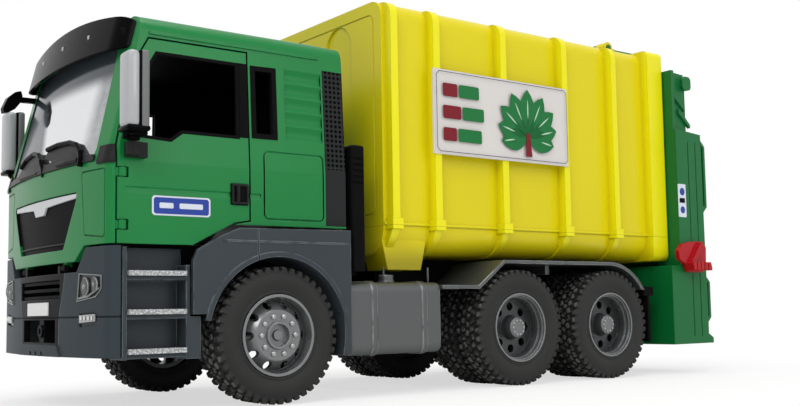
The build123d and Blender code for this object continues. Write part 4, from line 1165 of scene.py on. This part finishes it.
# %% Black sheets for shade
arch_radius = 40.2
along_frame = ((-150, 58), (60, 58), (60, 75.2), (-150, 75.2))
under_cab = ((62, 58), (106, 58), (106, 76.5), (62, 76.5))
behind_steps = ((150, 60), (204, 60), (204, 78.2), (150, 78.2))
under_nose = ((-61, 46), (61, 46), (61, 77), (-61, 77))
arch = []
for angle in range(0, 181, 10):
    out, up = arch_radius * cos(radians(angle)), arch_radius * sin(radians(angle))
    arch.append((front_x * 1000 + out, tyre_radius * 1000 + up))
for side_name, side in both_sides:
    mesh = bmesh.new()
    for (x0, z0), (x1, z1) in zip(arch, arch[1:]):
        y0, y1 = side * 30, side * 50
        flat_face(mesh, [mm(x0, y0, z0), mm(x1, y0, z1), mm(x1, y1, z1), mm(x0, y1, z0)])
    weld(mesh)
    bmesh.ops.solidify(mesh, geom=list(mesh.faces), thickness=0.0008)
    piece(f"arch_shade_sheet_{side_name}", mesh, black, "chassis")
    across = outward * side
    both = (along_frame, under_cab)
    sheets = [(plate, upright(sheet, side * 27), across * 0.001) for sheet in both]
    build(f"frame_shade_sheet_{side_name}", black, "chassis", *sheets, smooth=0)
    sheet = (plate, upright(behind_steps, side * 61.4), across * 0.0008)
    build(f"step_shade_sheet_{side_name}", black, "chassis", sheet, smooth=0)
sheet = (plate, [mm(169.5, y, z) for y, z in under_nose], ahead * 0.0008)
build("front_shade_sheet", black, "chassis", sheet, smooth=0)
print("seven liners")

# %% [markdown]
# ## The tail
#
# The tailgate, its paddle and the bin lifter are painted a darker copy of the cab's green, as
# painted shade for the light that falls off towards the rear. The tailgate carries a small plain
# label with three dark shapes.

# %% Tail colour and label
# A darker copy of the green, as painted shade towards the rear.
tail_green_painted_shade = plastic(
    "tail_green_painted_shade_plastic", srgb(9, 102, 48), 0.32, grain=0.04, round_edge=0.0010,
    slot="green_plastic",
)
for name in ("tailgate_shell", "packer_paddle", "bin_lifter"):
    dress(name, tail_green_painted_shade)
ground = (plate, upright(bar(-192.6, -184.2, 104.8, 127.4, 0.6), 81.0), outward * 0.00015)
build("tail_label", label_pale, "tailgate", ground, smooth=0)
spots = [(knob, mm(-188.6, 81.1, z), r, 0.00012) for z, r in ((122.2, 0.0026), (109.8, 0.0024))]
build("tail_label_spots", label_blue, "tailgate", *spots, smooth=0)
mark = (block, mm(-188.4, 81.2, 116.2), mm(5.6, 0.12, 3.2))
build("tail_label_mark", black, "tailgate", mark, smooth=0)
print("one label")

# %% [markdown]
# ## The studio
#
# A pale floor and a large, even sky suit a toy on a white page: soft shadows and no hot spots.
# The floor glows white for the camera alone, fully so away from the lorry, and keeps a soft contact
# shadow under it.

# %% Floor
floor_mesh = bmesh.new()
bmesh.ops.create_grid(floor_mesh, x_segments=2, y_segments=2, size=6.0)
floor_data = bpy.data.meshes.new("floor")
floor_mesh.to_mesh(floor_data)
floor_mesh.free()
floor = bpy.data.objects.new("floor", floor_data)
scene.collection.objects.link(floor)
floor_paint, shader, place = new_material("floor_paint")
feed(shader, Base_Color=srgb(248, 248, 248), Roughness=0.8, Specular_IOR_Level=0.1)
floor_data.materials.append(floor_paint)
glow = floor_paint.node_tree.nodes.new("ShaderNodeEmission")
glow.inputs["Color"].default_value = (1.0, 1.0, 1.0, 1.0)
watched = Flow(floor_paint.node_tree.nodes.new("ShaderNodeLightPath").outputs["Is Camera Ray"])
east, north = place.part("X"), place.part("Y")
distance = (east * east + north * north * 3.0).math("SQRT")
near_glow = 0.64
glow_share = ease(distance, 0.20, 0.42) * (1 - near_glow) + near_glow
linked_mix(floor_paint, shader, glow, watched * glow_share)
print("the floor glows", near_glow, "near the lorry and fully away from it")

# %% [markdown]
# The sky has two strengths: full for what the camera sees, directly, mirrored or through a clear
# part, and lower for the light that falls on the lorry.

# %% World
world = bpy.data.worlds.new("studio")
scene.world = world
world.use_nodes = True
sky = world.node_tree.nodes["Background"]
path = world.node_tree.nodes.new("ShaderNodeLightPath")
direct, glossy, through = (
    Flow(path.outputs[f"Is {kind} Ray"]) for kind in ("Camera", "Glossy", "Transmission")
)
sky_level = 0.48
seen = direct.math("MAXIMUM", glossy.math("MAXIMUM", through))
sky_strength = seen * (1 - sky_level) + sky_level
sky.inputs["Color"].default_value = (1.0, 1.0, 1.0, 1.0)
world.node_tree.links.new(sky_strength.socket, sky.inputs["Strength"])
print("sky level", sky_level)

# %% [markdown]
# ## Lamps
#
# Three large area lamps act as soft boxes: a key from the camera's side and above, a fill along the
# container, and a strip over the roof that draws the bright line along the top edges.


# %% Lamps
def soft_box(name, place, target, size, power):
    """A square area lamp aimed at a point."""
    data = bpy.data.lights.new(name, "AREA")
    data.size = size
    data.energy = power
    lamp = bpy.data.objects.new(name, data)
    lamp.location = place
    lamp.rotation_euler = (Vector(target) - Vector(place)).to_track_quat("-Z", "Y").to_euler()
    scene.collection.objects.link(lamp)
    return lamp


middle = (0.0, 0.0, 0.10)
soft_box("key_lamp", (1.1, 0.9, 1.1), middle, 0.7, 9)
soft_box("side_lamp", (-0.3, 1.4, 0.7), middle, 0.7, 4)
soft_box("roof_lamp", (0.0, 0.1, 1.4), middle, 0.6, 6)
print("three soft boxes")

# %% [markdown]
# ## The camera
#
# The wheels are circles, so their ellipses in the photograph fix where the camera stood: low, near
# the left front corner. The numbers below came from fitting those ellipses. A focal length in
# pixels becomes a lens by the sensor's width, and the optical axis' small offset becomes shift.

# %% The camera
photo_width, photo_height = 800, 406
focal_pixels = 1047.86
axis_x, axis_y = 418.03, 221.40
camera_place = Vector((0.38952, 0.52626, 0.04430))
yaw, pitch, roll = -2.236782, 0.085939, -0.018353

forward = Vector((cos(pitch) * cos(yaw), cos(pitch) * sin(yaw), sin(pitch)))
level_right = Vector((sin(yaw), -cos(yaw), 0.0))
level_up = level_right.cross(forward)
right = level_right * cos(roll) + level_up * sin(roll)
up = level_up * cos(roll) - level_right * sin(roll)

camera_data = bpy.data.cameras.new("camera")
camera_data.sensor_fit = "HORIZONTAL"
camera_data.sensor_width = 36.0
camera_data.lens = focal_pixels / photo_width * camera_data.sensor_width
camera_data.shift_x = (photo_width / 2 - axis_x) / photo_width
camera_data.shift_y = (axis_y - photo_height / 2) / photo_width
camera_data.clip_start = 0.01
camera_data.clip_end = 50.0
camera = bpy.data.objects.new("camera", camera_data)
turn = Matrix((right, up, -forward)).transposed()
camera.matrix_world = Matrix.Translation(camera_place) @ turn.to_4x4()
scene.collection.objects.link(camera)
scene.camera = camera
scene.view_settings.view_transform = "Standard"
print("lens", round(camera_data.lens, 2), "mm")
